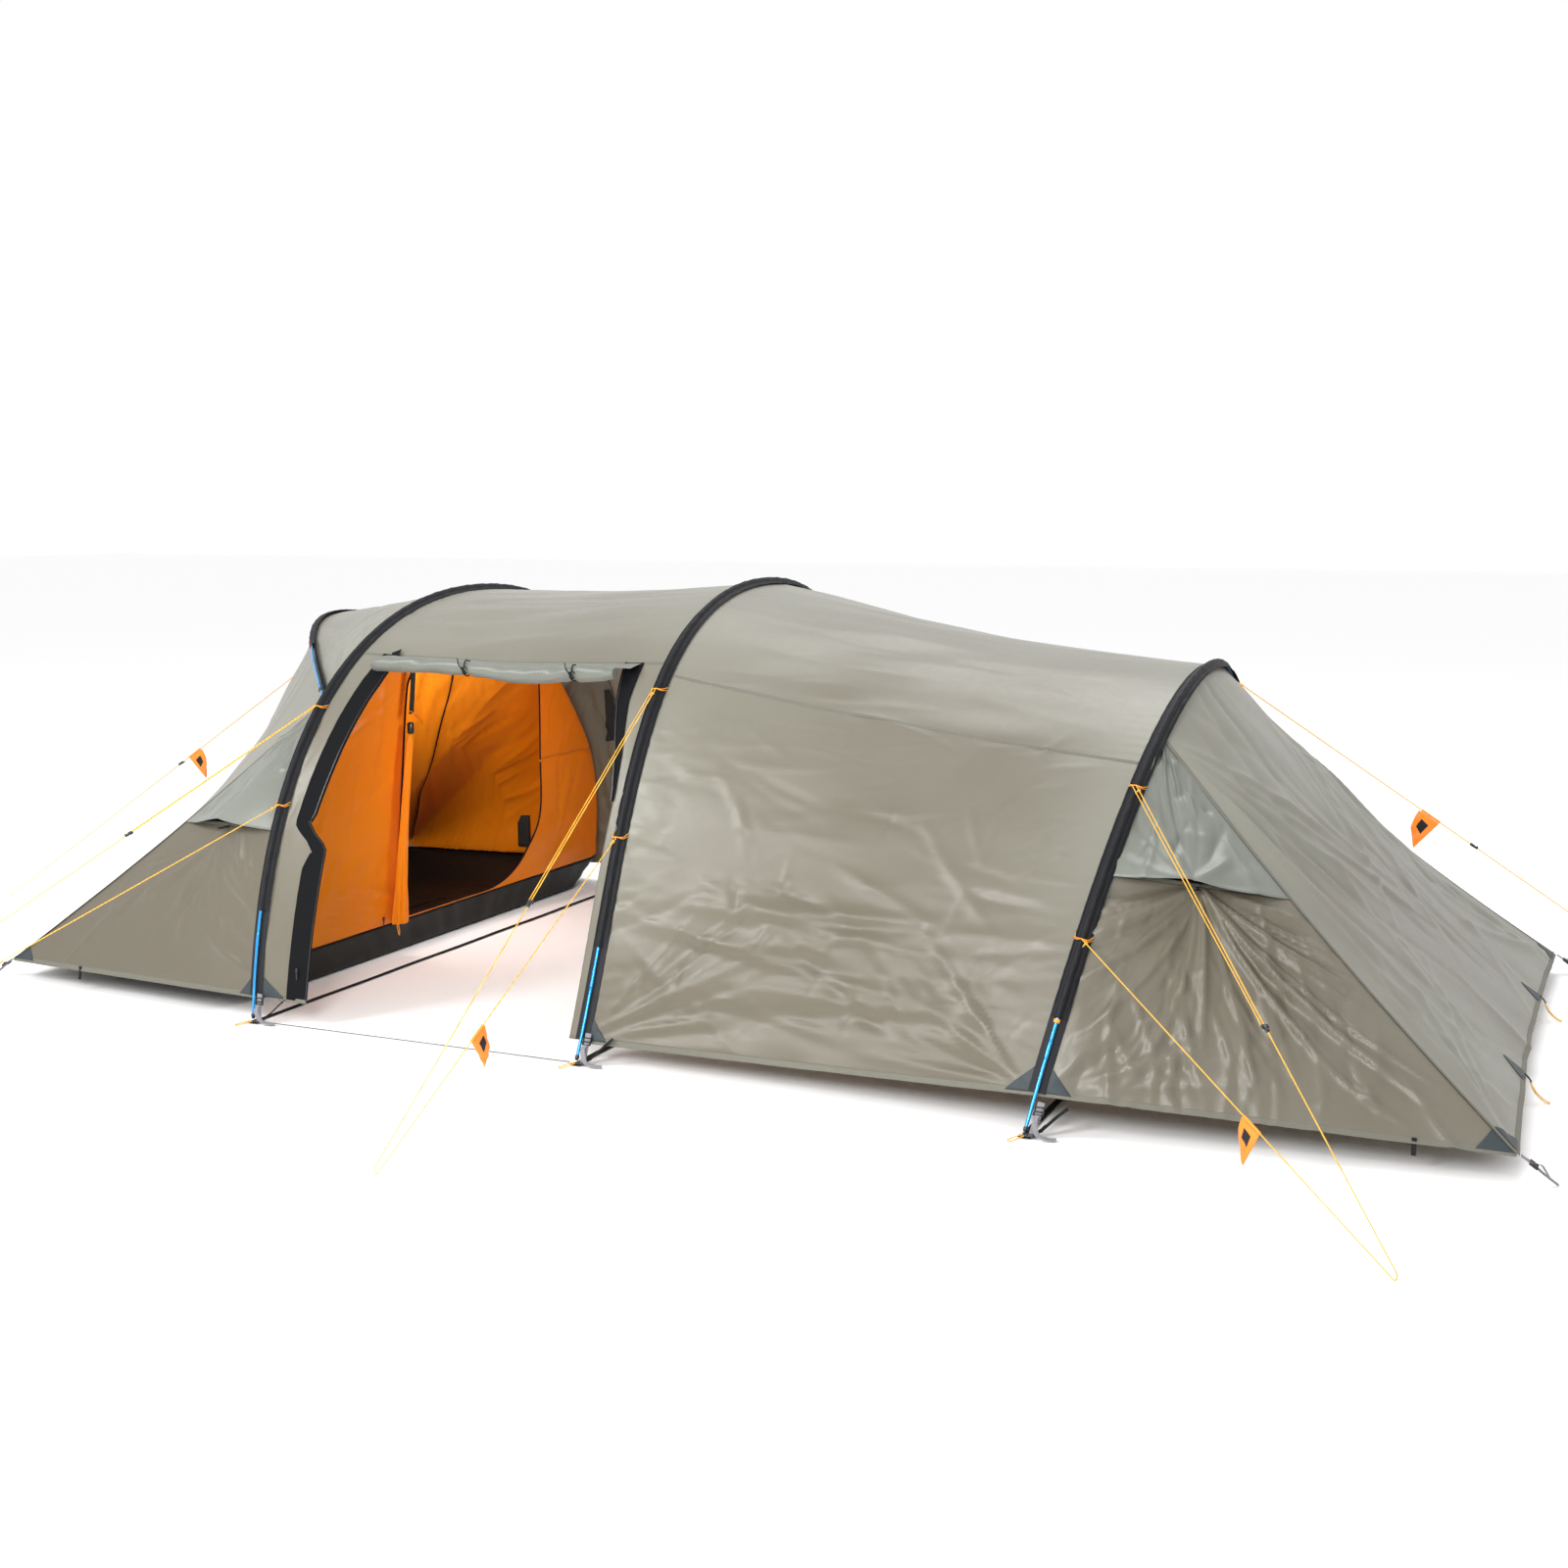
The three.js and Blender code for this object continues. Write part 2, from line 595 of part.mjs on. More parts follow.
const INNER_SLIDER = { y: -470, z: 180, off: 10 };
const innerSlider = addPart('inner_zip_slider', zipSlider(), MATERIALS.plastic);
innerSlider.rotation.z = Math.PI / 2;
const innerSliderX = INNER.x + INNER.lean * INNER_SLIDER.z + INNER_SLIDER.off;
innerSlider.position.set(innerSliderX, INNER_SLIDER.y, INNER_SLIDER.z);

// ---- webbing at the ground ----------------------------------------------------------

// A block whose top face is the ground, for cutting pieces off level.
function groundBlock(x) {
  return toSolid(box(1000, 400, 200, x, 0, -100));
}

const FOOT = { strapX: 27, strapTop: 120, plateEnd: 22, plateDepth: 40, plateHeight: 5 };
const BUCKLE = { width: 34, length: 28, depth: 9, z: 88 };

// A plate under the pole's foot, and the webbing with its buckle beside the pole.
function addFoot(name, arch, side) {
  const { spec } = arch;
  const { strapX, strapTop, plateEnd, plateDepth, plateHeight } = FOOT;
  const tilt = side * THREE.MathUtils.degToRad(90 - spec.legAngle);
  const plate = box(strapX + 2 * plateEnd, plateDepth, plateHeight, strapX / 2, 0, plateHeight / 2);
  const strap = box(WEBBING.width, WEBBING.thickness, strapTop - 2, 0, 0, strapTop / 2 + 1);
  const buckle = box(BUCKLE.width, BUCKLE.depth, BUCKLE.length, 0, 0, BUCKLE.z);
  const upright = join([strap, buckle]);
  upright.rotateX(tilt);
  upright.rotateY(arch.lean);
  upright.translate(strapX, 0, 0);
  const whole = toSolid(upright).add(toSolid(plate)).subtract(groundBlock(0));
  const mesh = addPart(name, toGeometry(whole), MATERIALS.webbing);
  mesh.position.set(spec.x, side * spec.halfWidth, 0);
}

for (const key of ['a', 'b', 'c']) {
  const arch = arches[key];
  addFoot(`foot_tensioner_${key}_near`, arch, -1);
  addFoot(`foot_tensioner_${key}_far`, arch, 1);
  const length = 2 * (arch.spec.halfWidth - FOOT.plateEnd);
  const webbing = box(WEBBING.width, length, WEBBING.thickness, arch.spec.x, 0, 2);
  addPart(`base_strap_${key}`, webbing, MATERIALS.strap);
}

// A strap from a lower corner of the fly down to its peg, with a ladder-lock buckle.
const CORNER = { gap: 12, drop: 4, buckleAt: 0.35, buckleLength: 30, buckleDepth: 8 };

function addCornerStrap(name, end, side) {
  const startX = Math.abs(end.x) + CORNER.gap;
  const finishX = Math.abs(end.strapEnd);
  const startZ = end.hem - CORNER.drop;
  const length = Math.hypot(finishX - startX, startZ - 2);
  const fall = Math.atan2(startZ - 2, finishX - startX);
  const strap = box(length, WEBBING.width, WEBBING.thickness, length / 2, 0, 0);
  const buckle = box(CORNER.buckleLength, BUCKLE.width, CORNER.buckleDepth, length * CORNER.buckleAt, 0, 0);
  const whole = join([strap, buckle]);
  whole.rotateY(fall);
  whole.translate(startX, 0, startZ);
  const limit = box(1000, 400, 400, finishX + 500, 0, 0);
  const geometry = toGeometry(toSolid(whole).subtract(toSolid(limit)).subtract(groundBlock(finishX)));
  if (end.x < 0) geometry.rotateZ(Math.PI);
  geometry.translate(0, side * end.halfWidth, 0);
  addPart(name, geometry, MATERIALS.webbing);
}

for (const [word, side] of [['near', -1], ['far', 1]]) {
  addCornerStrap(`corner_strap_front_${word}`, FRONT, side);
  addCornerStrap(`corner_strap_rear_${word}`, REAR, side);
}

// ---- cords --------------------------------------------------------------------------

// A cord's route: straight runs between its points, with a station at each point.
class Route extends THREE.Curve {
  constructor(points) {
    super();
    this.points = points;
  }

  getPoint(u) {
    const place = u * (this.points.length - 1);
    const index = Math.min(Math.floor(place), this.points.length - 2);
    return this.points[index].clone().lerp(this.points[index + 1], place - index);
  }

  getPointAt(u) {
    return this.getPoint(u);
  }

  getTangentAt(u) {
    const step = 0.5 / (this.points.length - 1);
    const before = this.getPoint(Math.max(u - step, 0));
    return this.getPoint(Math.min(u + step, 1)).sub(before).normalize();
  }
}

function addCord(name, points, material, radius = CORD_RADIUS) {
  const section = new THREE.Shape(polygon(CORD_SIDES, radius));
  const options = { steps: points.length - 1, extrudePath: new Route(points) };
  return addPart(name, new THREE.ExtrudeGeometry(section, options), material);
}

function run(from, to, count) {
  return Array.from({ length: count }, (_, i) => from.clone().lerp(to, i / count));
}

// A guyline from its upper loop down round the peg and back up to its lower loop.
const PEG_TURN = 14;

function guyRoute(upper, peg, lower) {
  const middle = new THREE.Vector3(peg.x, peg.y, PEG_TURN + CORD_RADIUS + 2);
  const away = new THREE.Vector3(peg.x - upper.x, peg.y - upper.y, 0).normalize();
  const up = new THREE.Vector3(0, 0, 1);
  const turn = [60, 20, -20, -60, -100].map((degrees) => {
    const angle = THREE.MathUtils.degToRad(degrees);
    const point = middle.clone().addScaledVector(away, Math.cos(angle) * PEG_TURN);
    return point.addScaledVector(up, Math.sin(angle) * PEG_TURN);
  });
  return [...run(upper, turn[0], 12), ...turn, ...run(lower, turn[4], 12).reverse()];
}

const GUYS = {
  a: { upper: 1205, lower: 838, peg: new THREE.Vector3(-843, -3133, 0), runnerAt: 0.36 },
  b: { upper: 1314, lower: 790, peg: new THREE.Vector3(1478, -2787, 0), runnerAt: 0.5, bagAt: 0.6 },
  c: { upper: 1050, lower: 590, peg: new THREE.Vector3(4374, -2350, 0), runnerAt: 0.56, bagAt: 0.57 },
};
const CORD_START = SLEEVE.crown + 5;

// A small grip with the line running through it.
const RUNNER = { halfWidth: 7, halfHeight: 5, length: 34, slack: 1.2 };

function addRunner(name, from, to, share) {
  const { halfWidth, halfHeight, length, slack } = RUNNER;
  const outline = new THREE.Shape([
    new THREE.Vector2(-halfWidth, -halfHeight), new THREE.Vector2(halfWidth, -halfHeight),
    new THREE.Vector2(halfWidth, halfHeight), new THREE.Vector2(-halfWidth, halfHeight),
  ]);
  outline.holes.push(new THREE.Path(polygon(CORD_SIDES, CORD_RADIUS + slack)));
  const geometry = new THREE.ExtrudeGeometry(outline, { depth: length, bevelEnabled: false });
  const mesh = addPart(name, geometry, MATERIALS.plastic);
  mesh.position.copy(from.clone().lerp(to, share));
  mesh.quaternion.setFromUnitVectors(new THREE.Vector3(0, 0, 1), to.clone().sub(from).normalize());
}

// A pouch for spare line, hanging under its guyline.
const BAG = { depth: 10, below: 5, outline: [[0, 0], [70, 0], [78, -55], [60, -120], [20, -65]] };

function addBag(name, from, to, share) {
  const outline = BAG.outline.map(([along, down]) => new THREE.Vector2(along, down - BAG.below));
  const pouch = new THREE.Shape(outline);
  const geometry = new THREE.ExtrudeGeometry(pouch, { depth: BAG.depth, bevelEnabled: false });
  geometry.translate(0, 0, -BAG.depth / 2);
  const mesh = addPart(name, geometry, MATERIALS.bag);
  const along = to.clone().sub(from).normalize();
  const side = new THREE.Vector3(along.y, -along.x, 0).normalize();
  const up = side.clone().cross(along);
  mesh.position.copy(from.clone().lerp(to, share));
  mesh.quaternion.setFromRotationMatrix(new THREE.Matrix4().makeBasis(along, up, side));
}

for (const key of ['a', 'b', 'c']) {
  const guy = GUYS[key];
  const arch = arches[key];
  const upper = arch.place(arch.atHeight(guy.upper), CORD_START, 0);
  const lower = arch.place(arch.atHeight(guy.lower), CORD_START, 0);
  const route = guyRoute(upper, guy.peg, lower);
  addCord(`guy_${key}`, route, MATERIALS.guy);
  addRunner(`guy_runner_${key}`, upper, route[12], guy.runnerAt);
  if (guy.bagAt) addBag(`guy_bag_${key}`, lower, route[16], guy.bagAt);
}

// The guylines at the two ends each end in a small loop on the ground.
const END_GUYS = {
  front: {
    start: new THREE.Vector3(3480, 0, 1342), peg: new THREE.Vector3(5541, 0, 4),
    runnerAt: 0.42, bagAt: 0.33,
  },
  rear: {
    start: new THREE.Vector3(-905, 0, 1262), peg: new THREE.Vector3(-2760, -150, 4),
    runnerAt: 0.4, bagAt: 0.34,
  },
};

for (const [key, guy] of Object.entries(END_GUYS)) {
  addCord(`guy_${key}`, [...run(guy.start, guy.peg, 16), guy.peg], MATERIALS.guy);
  addRunner(`guy_runner_${key}`, guy.start, guy.peg, guy.runnerAt);
  addBag(`guy_bag_${key}`, guy.start, guy.peg, guy.bagAt);
}

// A cord along the ground across the doorway keeps two hoops the right distance apart.
const THRESHOLD_HEIGHT = 8;
const thresholdStart = new THREE.Vector3(ARCHES.a.x + 52, -ARCHES.a.halfWidth, THRESHOLD_HEIGHT);
const thresholdEnd = new THREE.Vector3(ARCHES.b.x - 25, -ARCHES.b.halfWidth, THRESHOLD_HEIGHT);
addCord('threshold_cord', [...run(thresholdStart, thresholdEnd, 12), thresholdEnd], MATERIALS.cord);

// ---- place on the ground ------------------------------------------------------------

tent.position.x = -(FRONT.strapEnd + REAR.strapEnd) / 2;
const group = new THREE.Group();
group.add(tent);

export default group;
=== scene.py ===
# The looks of a three-hoop tunnel tent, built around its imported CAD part.
# Metres, +Z up, +X towards the front end. Lengths along the tent are counted from the
# foot of the rear hoop, as in the CAD source, and moved to the row frame by ROW_X.

import math

import bmesh
import bpy
import numpy as np
from mathutils import Matrix, Vector


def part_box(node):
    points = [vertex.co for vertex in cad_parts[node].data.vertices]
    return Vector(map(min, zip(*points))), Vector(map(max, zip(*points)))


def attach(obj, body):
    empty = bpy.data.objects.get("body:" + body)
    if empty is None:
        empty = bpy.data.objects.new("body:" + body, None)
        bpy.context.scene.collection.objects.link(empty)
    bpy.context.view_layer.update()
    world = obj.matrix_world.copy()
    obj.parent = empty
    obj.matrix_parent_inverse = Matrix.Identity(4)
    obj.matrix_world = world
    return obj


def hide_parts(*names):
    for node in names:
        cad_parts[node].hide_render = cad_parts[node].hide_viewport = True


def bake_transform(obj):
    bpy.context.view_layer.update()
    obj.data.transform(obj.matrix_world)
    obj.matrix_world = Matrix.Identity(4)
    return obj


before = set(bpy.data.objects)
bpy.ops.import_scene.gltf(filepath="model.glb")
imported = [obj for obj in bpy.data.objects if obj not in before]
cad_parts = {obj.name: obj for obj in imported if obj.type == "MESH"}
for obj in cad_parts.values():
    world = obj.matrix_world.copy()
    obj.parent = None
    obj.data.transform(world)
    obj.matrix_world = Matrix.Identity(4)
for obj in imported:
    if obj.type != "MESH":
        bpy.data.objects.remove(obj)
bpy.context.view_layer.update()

ROW_X = 1.6075
CLOTH_DEPTH = 0.015
SEAM_GAP = 0.0015

# ---- camera -------------------------------------------------------------------------

CAMERA_PLACE = (3.22285, -7.27267, 1.98839)
CAMERA_RIGHT = (0.91274254, 0.40853279, 0.00141798)
CAMERA_UP = (-0.05986255, 0.13030965, 0.98966452)
CAMERA_AHEAD = (-0.40412563, 0.9033938, -0.14339497)


def make_camera():
    data = bpy.data.cameras.new("camera")
    data.sensor_width, data.lens = 36, 43.25
    data.clip_end = 200
    camera = bpy.data.objects.new("camera", data)
    bpy.context.collection.objects.link(camera)
    axes = (Vector(CAMERA_RIGHT), Vector(CAMERA_UP), -Vector(CAMERA_AHEAD))
    matrix = Matrix([a.to_tuple() for a in axes]).transposed().to_4x4()
    matrix.translation = CAMERA_PLACE
    camera.matrix_world = matrix
    bpy.context.scene.camera = camera


make_camera()

# ---- materials ----------------------------------------------------------------------


def srgb(red, green, blue):
    """A colour given from 0 to 255 as the shader's linear one."""
    def linear(x):
        x /= 255
        return x / 12.92 if x < 0.04045 else ((x + 0.055) / 1.055) ** 2.4
    return (linear(red), linear(green), linear(blue), 1)


class Nodes:
    """A material's node tree, with short calls for what is used here."""

    def __init__(self, name):
        self.material = bpy.data.materials.new(name)
        self.material.use_nodes = True
        self.tree = self.material.node_tree
        self.shader = self.tree.nodes["Principled BSDF"]

    def add(self, kind, **settings):
        node = self.tree.nodes.new(kind)
        for key, value in settings.items():
            setattr(node, key, value)
        return node

    def link(self, output, socket):
        self.tree.links.new(output, socket)

    def set(self, node, **values):
        for key, value in values.items():
            node.inputs[key.replace("_", " ")].default_value = value
        return node

    def noise(self, where, scale, detail=3.0):
        node = self.set(self.add("ShaderNodeTexNoise"), Scale=scale, Detail=detail)
        self.link(where, node.inputs["Vector"])
        return node.outputs["Fac"]

    def math(self, operation, a, b):
        node = self.add("ShaderNodeMath", operation=operation)
        for socket, value in zip(node.inputs, (a, b)):
            if isinstance(value, (int, float)):
                socket.default_value = value
            else:
                self.link(value, socket)
        return node.outputs[0]

    def ramp(self, value, stops):
        node = self.add("ShaderNodeValToRGB")
        ramp = node.color_ramp
        while len(ramp.elements) < len(stops):
            ramp.elements.new(0.5)
        for element, (place, color) in zip(ramp.elements, stops):
            element.position, element.color = place, color
        self.link(value, node.inputs["Fac"])
        return node.outputs["Color"]

    def bump(self, height, strength, distance):
        node = self.set(self.add("ShaderNodeBump"), Strength=strength, Distance=distance)
        self.link(height, node.inputs["Height"])
        self.link(node.outputs["Normal"], self.shader.inputs["Normal"])
        return node.outputs["Normal"]


def woven(
    name, light, dark, rough, pitch, sheen=0.2, glow=0.0, glow_color=None, spread=0.12, coat=0.0, shine=0.5
):
    """Woven cloth: threads both ways, a ripstop grid, slow stains, a satin sheen, some light let through, and
    a per-point darkening that is part random tone and part painted shade.
    """
    n = Nodes(name)
    uv = n.add("ShaderNodeUVMap", uv_map="cloth").outputs["UV"]
    place = n.add("ShaderNodeTexCoord").outputs["Object"]
    split = n.add("ShaderNodeSeparateXYZ")
    n.link(uv, split.inputs[0])
    threads = [n.math("SINE", n.math("MULTIPLY", split.outputs[i], 2 * math.pi / pitch), 0) for i in (0, 1)]
    weave = n.math("MULTIPLY", threads[0], threads[1])
    grid = [
        n.math(
            "GREATER_THAN", n.math("FRACT", n.math("MULTIPLY", split.outputs[i], 1 / (pitch * 8)), 0), 0.88
        )
        for i in (0, 1)
    ]
    ripstop = n.math("MAXIMUM", grid[0], grid[1])
    height = n.math("ADD", n.math("MULTIPLY", weave, 0.4), n.math("MULTIPLY", ripstop, 0.6))
    normal = n.bump(height, 0.25, pitch * 0.15)
    slow = n.noise(place, 1.3, 2)
    fine = n.noise(place, 35, 4)
    # per-point darkening read from the mesh: painted shade on the fly panels and sleeves, random tone on
    # other pieces
    painted_shade_and_tone = n.add("ShaderNodeAttribute", attribute_name="painted_shade_and_tone").outputs["Fac"]
    mottle_and_painted_shade = n.math("ADD", painted_shade_and_tone, n.math("MULTIPLY", n.math("SUBTRACT", slow, 0.5), 0.9))
    mottle_and_painted_shade = n.math("ADD", mottle_and_painted_shade, n.math("MULTIPLY", n.math("SUBTRACT", fine, 0.5), spread))
    mottle_and_painted_shade = n.math("ADD", mottle_and_painted_shade, n.math("MULTIPLY", ripstop, 0.06))
    color = n.ramp(mottle_and_painted_shade, [(0.0, light), (1.0, dark)])
    n.link(color, n.shader.inputs["Base Color"])
    n.link(
        n.math("ADD", rough, n.math("MULTIPLY", n.math("SUBTRACT", fine, 0.5), 0.16)),
        n.shader.inputs["Roughness"]
    )
    n.set(
        n.shader, Sheen_Weight=sheen, Sheen_Roughness=0.4, Coat_Weight=coat, Coat_Roughness=0.35,
        Specular_IOR_Level=shine
    )
    if glow:
        through = n.add("ShaderNodeBsdfTranslucent")
        through.inputs["Color"].default_value = glow_color or light
        n.link(normal, through.inputs["Normal"])
        mix = n.add("ShaderNodeMixShader")
        mix.inputs[0].default_value = glow
        n.link(n.shader.outputs[0], mix.inputs[1])
        n.link(through.outputs[0], mix.inputs[2])
        n.link(mix.outputs[0], n.tree.nodes["Material Output"].inputs["Surface"])
    return n.material


def ribbed(name, light, dark, rough, pitch, strength=0.5, shine=0.5):
    """Webbing and braid: fine ribs across the piece, with worn high spots."""
    n = Nodes(name)
    place = n.add("ShaderNodeTexCoord").outputs["Object"]
    turned = n.add("ShaderNodeMapping")
    turned.inputs["Rotation"].default_value = (0.4, 0.3, 0.5)
    n.link(place, turned.inputs["Vector"])
    wave = n.set(n.add("ShaderNodeTexWave"), Scale=1 / pitch, Distortion=1.5, Detail=2.0)
    n.link(turned.outputs[0], wave.inputs["Vector"])
    worn = n.noise(place, 60, 4)
    value = n.math("ADD", n.math("MULTIPLY", wave.outputs["Fac"], 0.6), n.math("MULTIPLY", worn, 0.4))
    n.link(n.ramp(value, [(0.15, dark), (0.85, light)]), n.shader.inputs["Base Color"])
    n.link(n.math("ADD", rough - 0.1, n.math("MULTIPLY", worn, 0.2)), n.shader.inputs["Roughness"])
    n.set(n.shader, Specular_IOR_Level=shine)
    n.bump(value, strength, pitch * 0.2)
    return n.material


def moulded(name, color, second, rough, metal=0.0, coat=0.0, scratches=300):
    """Hard plastic or anodised metal with fine scratches and handling marks."""
    n = Nodes(name)
    place = n.add("ShaderNodeTexCoord").outputs["Object"]
    stretched = n.add("ShaderNodeMapping")
    stretched.inputs["Scale"].default_value = (1, 1, 0.08)
    n.link(place, stretched.inputs["Vector"])
    fine = n.noise(stretched.outputs[0], scratches, 5)
    broad = n.noise(place, 14, 3)
    n.link(n.ramp(n.math("ADD", n.math("MULTIPLY", fine, 0.5), n.math("MULTIPLY", broad, 0.5)),
                  [(0.3, color), (0.7, second)]), n.shader.inputs["Base Color"])
    n.link(n.math("ADD", rough - 0.08, n.math("MULTIPLY", fine, 0.16)), n.shader.inputs["Roughness"])
    n.set(n.shader, Metallic=metal, Coat_Weight=coat, Coat_Roughness=0.15)
    n.bump(fine, 0.15, 0.0003)
    return n.material


# the fly cloth's dark colour is mostly reached where painted shade is laid on it
FLY = woven(
    "fly cloth", srgb(138, 137, 126), srgb(106, 100, 86), 0.34, 0.0016, 0.1, 0.22, srgb(176, 168, 146)
)
HOOD = woven(
    "hood cloth", srgb(131, 135, 127), srgb(106, 108, 100), 0.34, 0.0016, 0.1, 0.16, srgb(176, 174, 160)
)
INNER = woven(
    "inner cloth", srgb(255, 172, 22), srgb(240, 136, 8), 0.42, 0.0012, 0.1, 0.6, srgb(255, 190, 40)
)
SLEEVE = woven("sleeve cloth", srgb(32, 33, 37), srgb(17, 17, 20), 0.6, 0.002, 0.01, spread=0.3, shine=0.2)
PATCH = woven("patch cloth", srgb(56, 64, 67), srgb(40, 47, 50), 0.55, 0.002, 0.02, spread=0.3, shine=0.3)
TUB = woven("groundsheet", srgb(24, 22, 21), srgb(12, 11, 10), 0.45, 0.0022, 0.0, spread=0.3, shine=0.25)
MESH = woven("vent mesh", srgb(46, 46, 44), srgb(18, 18, 18), 0.8, 0.003, 0.05, 0.2, srgb(60, 60, 58), 0.4)
BAG = woven(
    "bag cloth", srgb(255, 146, 20), srgb(236, 112, 4), 0.5, 0.0018, 0.2, 0.1, srgb(255, 150, 20), 0.3
)
WEBBING = ribbed("grey webbing", srgb(150, 147, 152), srgb(88, 86, 90), 0.75, 0.0016)
STRAP = ribbed("black webbing", srgb(34, 34, 36), srgb(12, 12, 13), 0.75, 0.0016, shine=0.2)
BAND = ribbed("zip tape", srgb(20, 21, 24), srgb(9, 9, 11), 0.75, 0.0022, shine=0.1)
GUYLINE = ribbed("guyline braid", srgb(248, 198, 70), srgb(214, 142, 24), 0.55, 0.012, strength=0.8)
ELASTIC = ribbed("orange elastic", srgb(250, 175, 50), srgb(215, 120, 14), 0.6, 0.003)
CORD_GREY = ribbed("grey cord braid", srgb(104, 103, 108), srgb(62, 61, 66), 0.7, 0.006)
POLE = moulded("blue alloy", srgb(60, 170, 235), srgb(24, 118, 190), 0.28, 0.85, 0.3)
YELLOW = ribbed("yellow tape", srgb(240, 200, 60), srgb(205, 160, 20), 0.7, 0.0016)
PLASTIC = moulded("black plastic", srgb(26, 26, 28), srgb(12, 12, 13), 0.38, 0, 0.1)
RED = moulded("red cap", srgb(150, 34, 30), srgb(96, 18, 16), 0.4)

# ---- mesh helpers -------------------------------------------------------------------


def place(obj, material, body, slot=None, stands_for=()):
    obj.data.materials.append(material)
    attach(obj, body)
    if stands_for:
        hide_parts(*stands_for)
    return obj


def mesh_object(name, points, faces, smooth=True):
    mesh = bpy.data.meshes.new(name)
    mesh.from_pydata([tuple(p) for p in np.asarray(points, float)], [], [tuple(f) for f in faces])
    mesh.validate()
    mesh.update()
    if smooth:
        mesh.shade_smooth()
    obj = bpy.data.objects.new(name, mesh)
    bpy.context.collection.objects.link(obj)
    return obj


def lengths(points, axis):
    """How far each grid point is along its own row or column."""
    steps = np.linalg.norm(np.diff(points, axis=axis), axis=2)
    zero = np.zeros_like(np.take(steps, [0], axis=axis))
    return np.cumsum(np.concatenate([zero, steps], axis=axis), axis=axis)


def normals(points):
    """Outward normals of a grid whose first axis goes round the tent and second along it."""
    across, along = np.gradient(points, axis=0), np.gradient(points, axis=1)
    n = np.cross(along, across)
    return n / np.maximum(np.linalg.norm(n, axis=2, keepdims=True), 1e-9)


def sheet(name, grids, thickness=0.0012):
    """One cloth from grids, each (points, faces to keep or None, darkening value), sewn where their edges
    meet; the darkening value is part random tone and part painted shade.
    """
    points, faces, cloth, painted_shades_and_tones, offset = [], [], [], [], 0
    for grid, keep, painted_shade_and_tone in grids:
        rows, columns = grid.shape[:2]
        index = np.arange(rows * columns).reshape(rows, columns) + offset
        quads = np.stack([index[:-1, :-1], index[:-1, 1:], index[1:, 1:], index[1:, :-1]], -1)
        faces.append(quads.reshape(-1, 4) if keep is None else quads[keep])
        points.append(grid.reshape(-1, 3))
        cloth.append(np.stack([lengths(grid, 1).ravel() + offset * 0.37, lengths(grid, 0).ravel()], -1))
        painted_shades_and_tones.append(np.broadcast_to(painted_shade_and_tone, (rows, columns)).ravel())
        offset += rows * columns
    points, faces = np.vstack(points), np.vstack(faces)
    cloth, painted_shades_and_tones = np.vstack(cloth), np.concatenate(painted_shades_and_tones)
    mesh = bpy.data.meshes.new(name)
    used, faces = np.unique(faces, return_inverse=True)
    faces = faces.reshape(-1, 4)
    points, cloth, painted_shades_and_tones = points[used], cloth[used], painted_shades_and_tones[used]
    mesh.from_pydata(points.tolist(), [], faces.tolist())
    layer = mesh.uv_layers.new(name="cloth")
    layer.data.foreach_set("uv", cloth[faces.ravel()].astype(np.float32).ravel())
    # the darkening value is stored per point: painted shade on the fly panels and sleeves, tone on the other
    # pieces
    mesh.attributes.new("painted_shade_and_tone", "FLOAT", "POINT").data.foreach_set("value", painted_shades_and_tones.astype(np.float32))
    if len(grids) > 1:
        work = bmesh.new()
        work.from_mesh(mesh)
        edge = [v for v in work.verts if v.is_boundary]
        bmesh.ops.remove_doubles(work, verts=edge, dist=0.0004)
        work.to_mesh(mesh)
        work.free()
    mesh.update()
    mesh.shade_smooth()
    obj = bpy.data.objects.new(name, mesh)
    bpy.context.collection.objects.link(obj)
    if thickness:
        solid = obj.modifiers.new("thickness", "SOLIDIFY")
        solid.thickness, solid.offset = thickness, -1
    return obj


def loft(name, rings, wrap=True, cap=True, smooth=True):
    """A solid through rings of points, each ring round the piece."""
    rings = np.asarray(rings, float)
    count, sides = rings.shape[:2]
    faces = []
    for i in range(count - 1):
        for j in range(sides if wrap else sides - 1):
            k = (j + 1) % sides
            faces.append((i * sides + j, i * sides + k, (i + 1) * sides + k, (i + 1) * sides + j))
    if cap and wrap:
        faces.append(tuple(range(sides))[::-1])
        faces.append(tuple(range((count - 1) * sides, count * sides)))
    obj = mesh_object(name, rings.reshape(-1, 3), faces, smooth)
    if smooth:
        obj.data.set_sharp_from_angle(angle=math.radians(50))
    return obj


def unit(v):
    v = np.asarray(v, float)
    return v / max(np.linalg.norm(v), 1e-9)


def frames(points, up):
    """Along, side and up directions at each point of a line."""
    points = np.asarray(points, float)
    along = np.gradient(points, axis=0)
    along /= np.maximum(np.linalg.norm(along, axis=1, keepdims=True), 1e-9)
    side = np.cross(along, np.broadcast_to(np.asarray(up, float), along.shape))
    side /= np.maximum(np.linalg.norm(side, axis=1, keepdims=True), 1e-9)
    return along, side, np.cross(side, along)


def smooth_line(points, count):
    """A smooth curve through the given points, as a line of count points."""
    p = np.asarray(points, float)
    p = np.vstack([2 * p[0] - p[1], p, 2 * p[-1] - p[-2]])
    at = np.linspace(0, len(p) - 3, count)
    i = np.minimum(at.astype(int), len(p) - 4)
    t = (at - i)[:, None]
    a, b, c, d = p[i], p[i + 1], p[i + 2], p[i + 3]
    return 0.5 * (2 * b + (c - a) * t + (2 * a - 5 * b + 4 * c - d) * t**2 + (3 * b - a - 3 * c + d) * t**3)


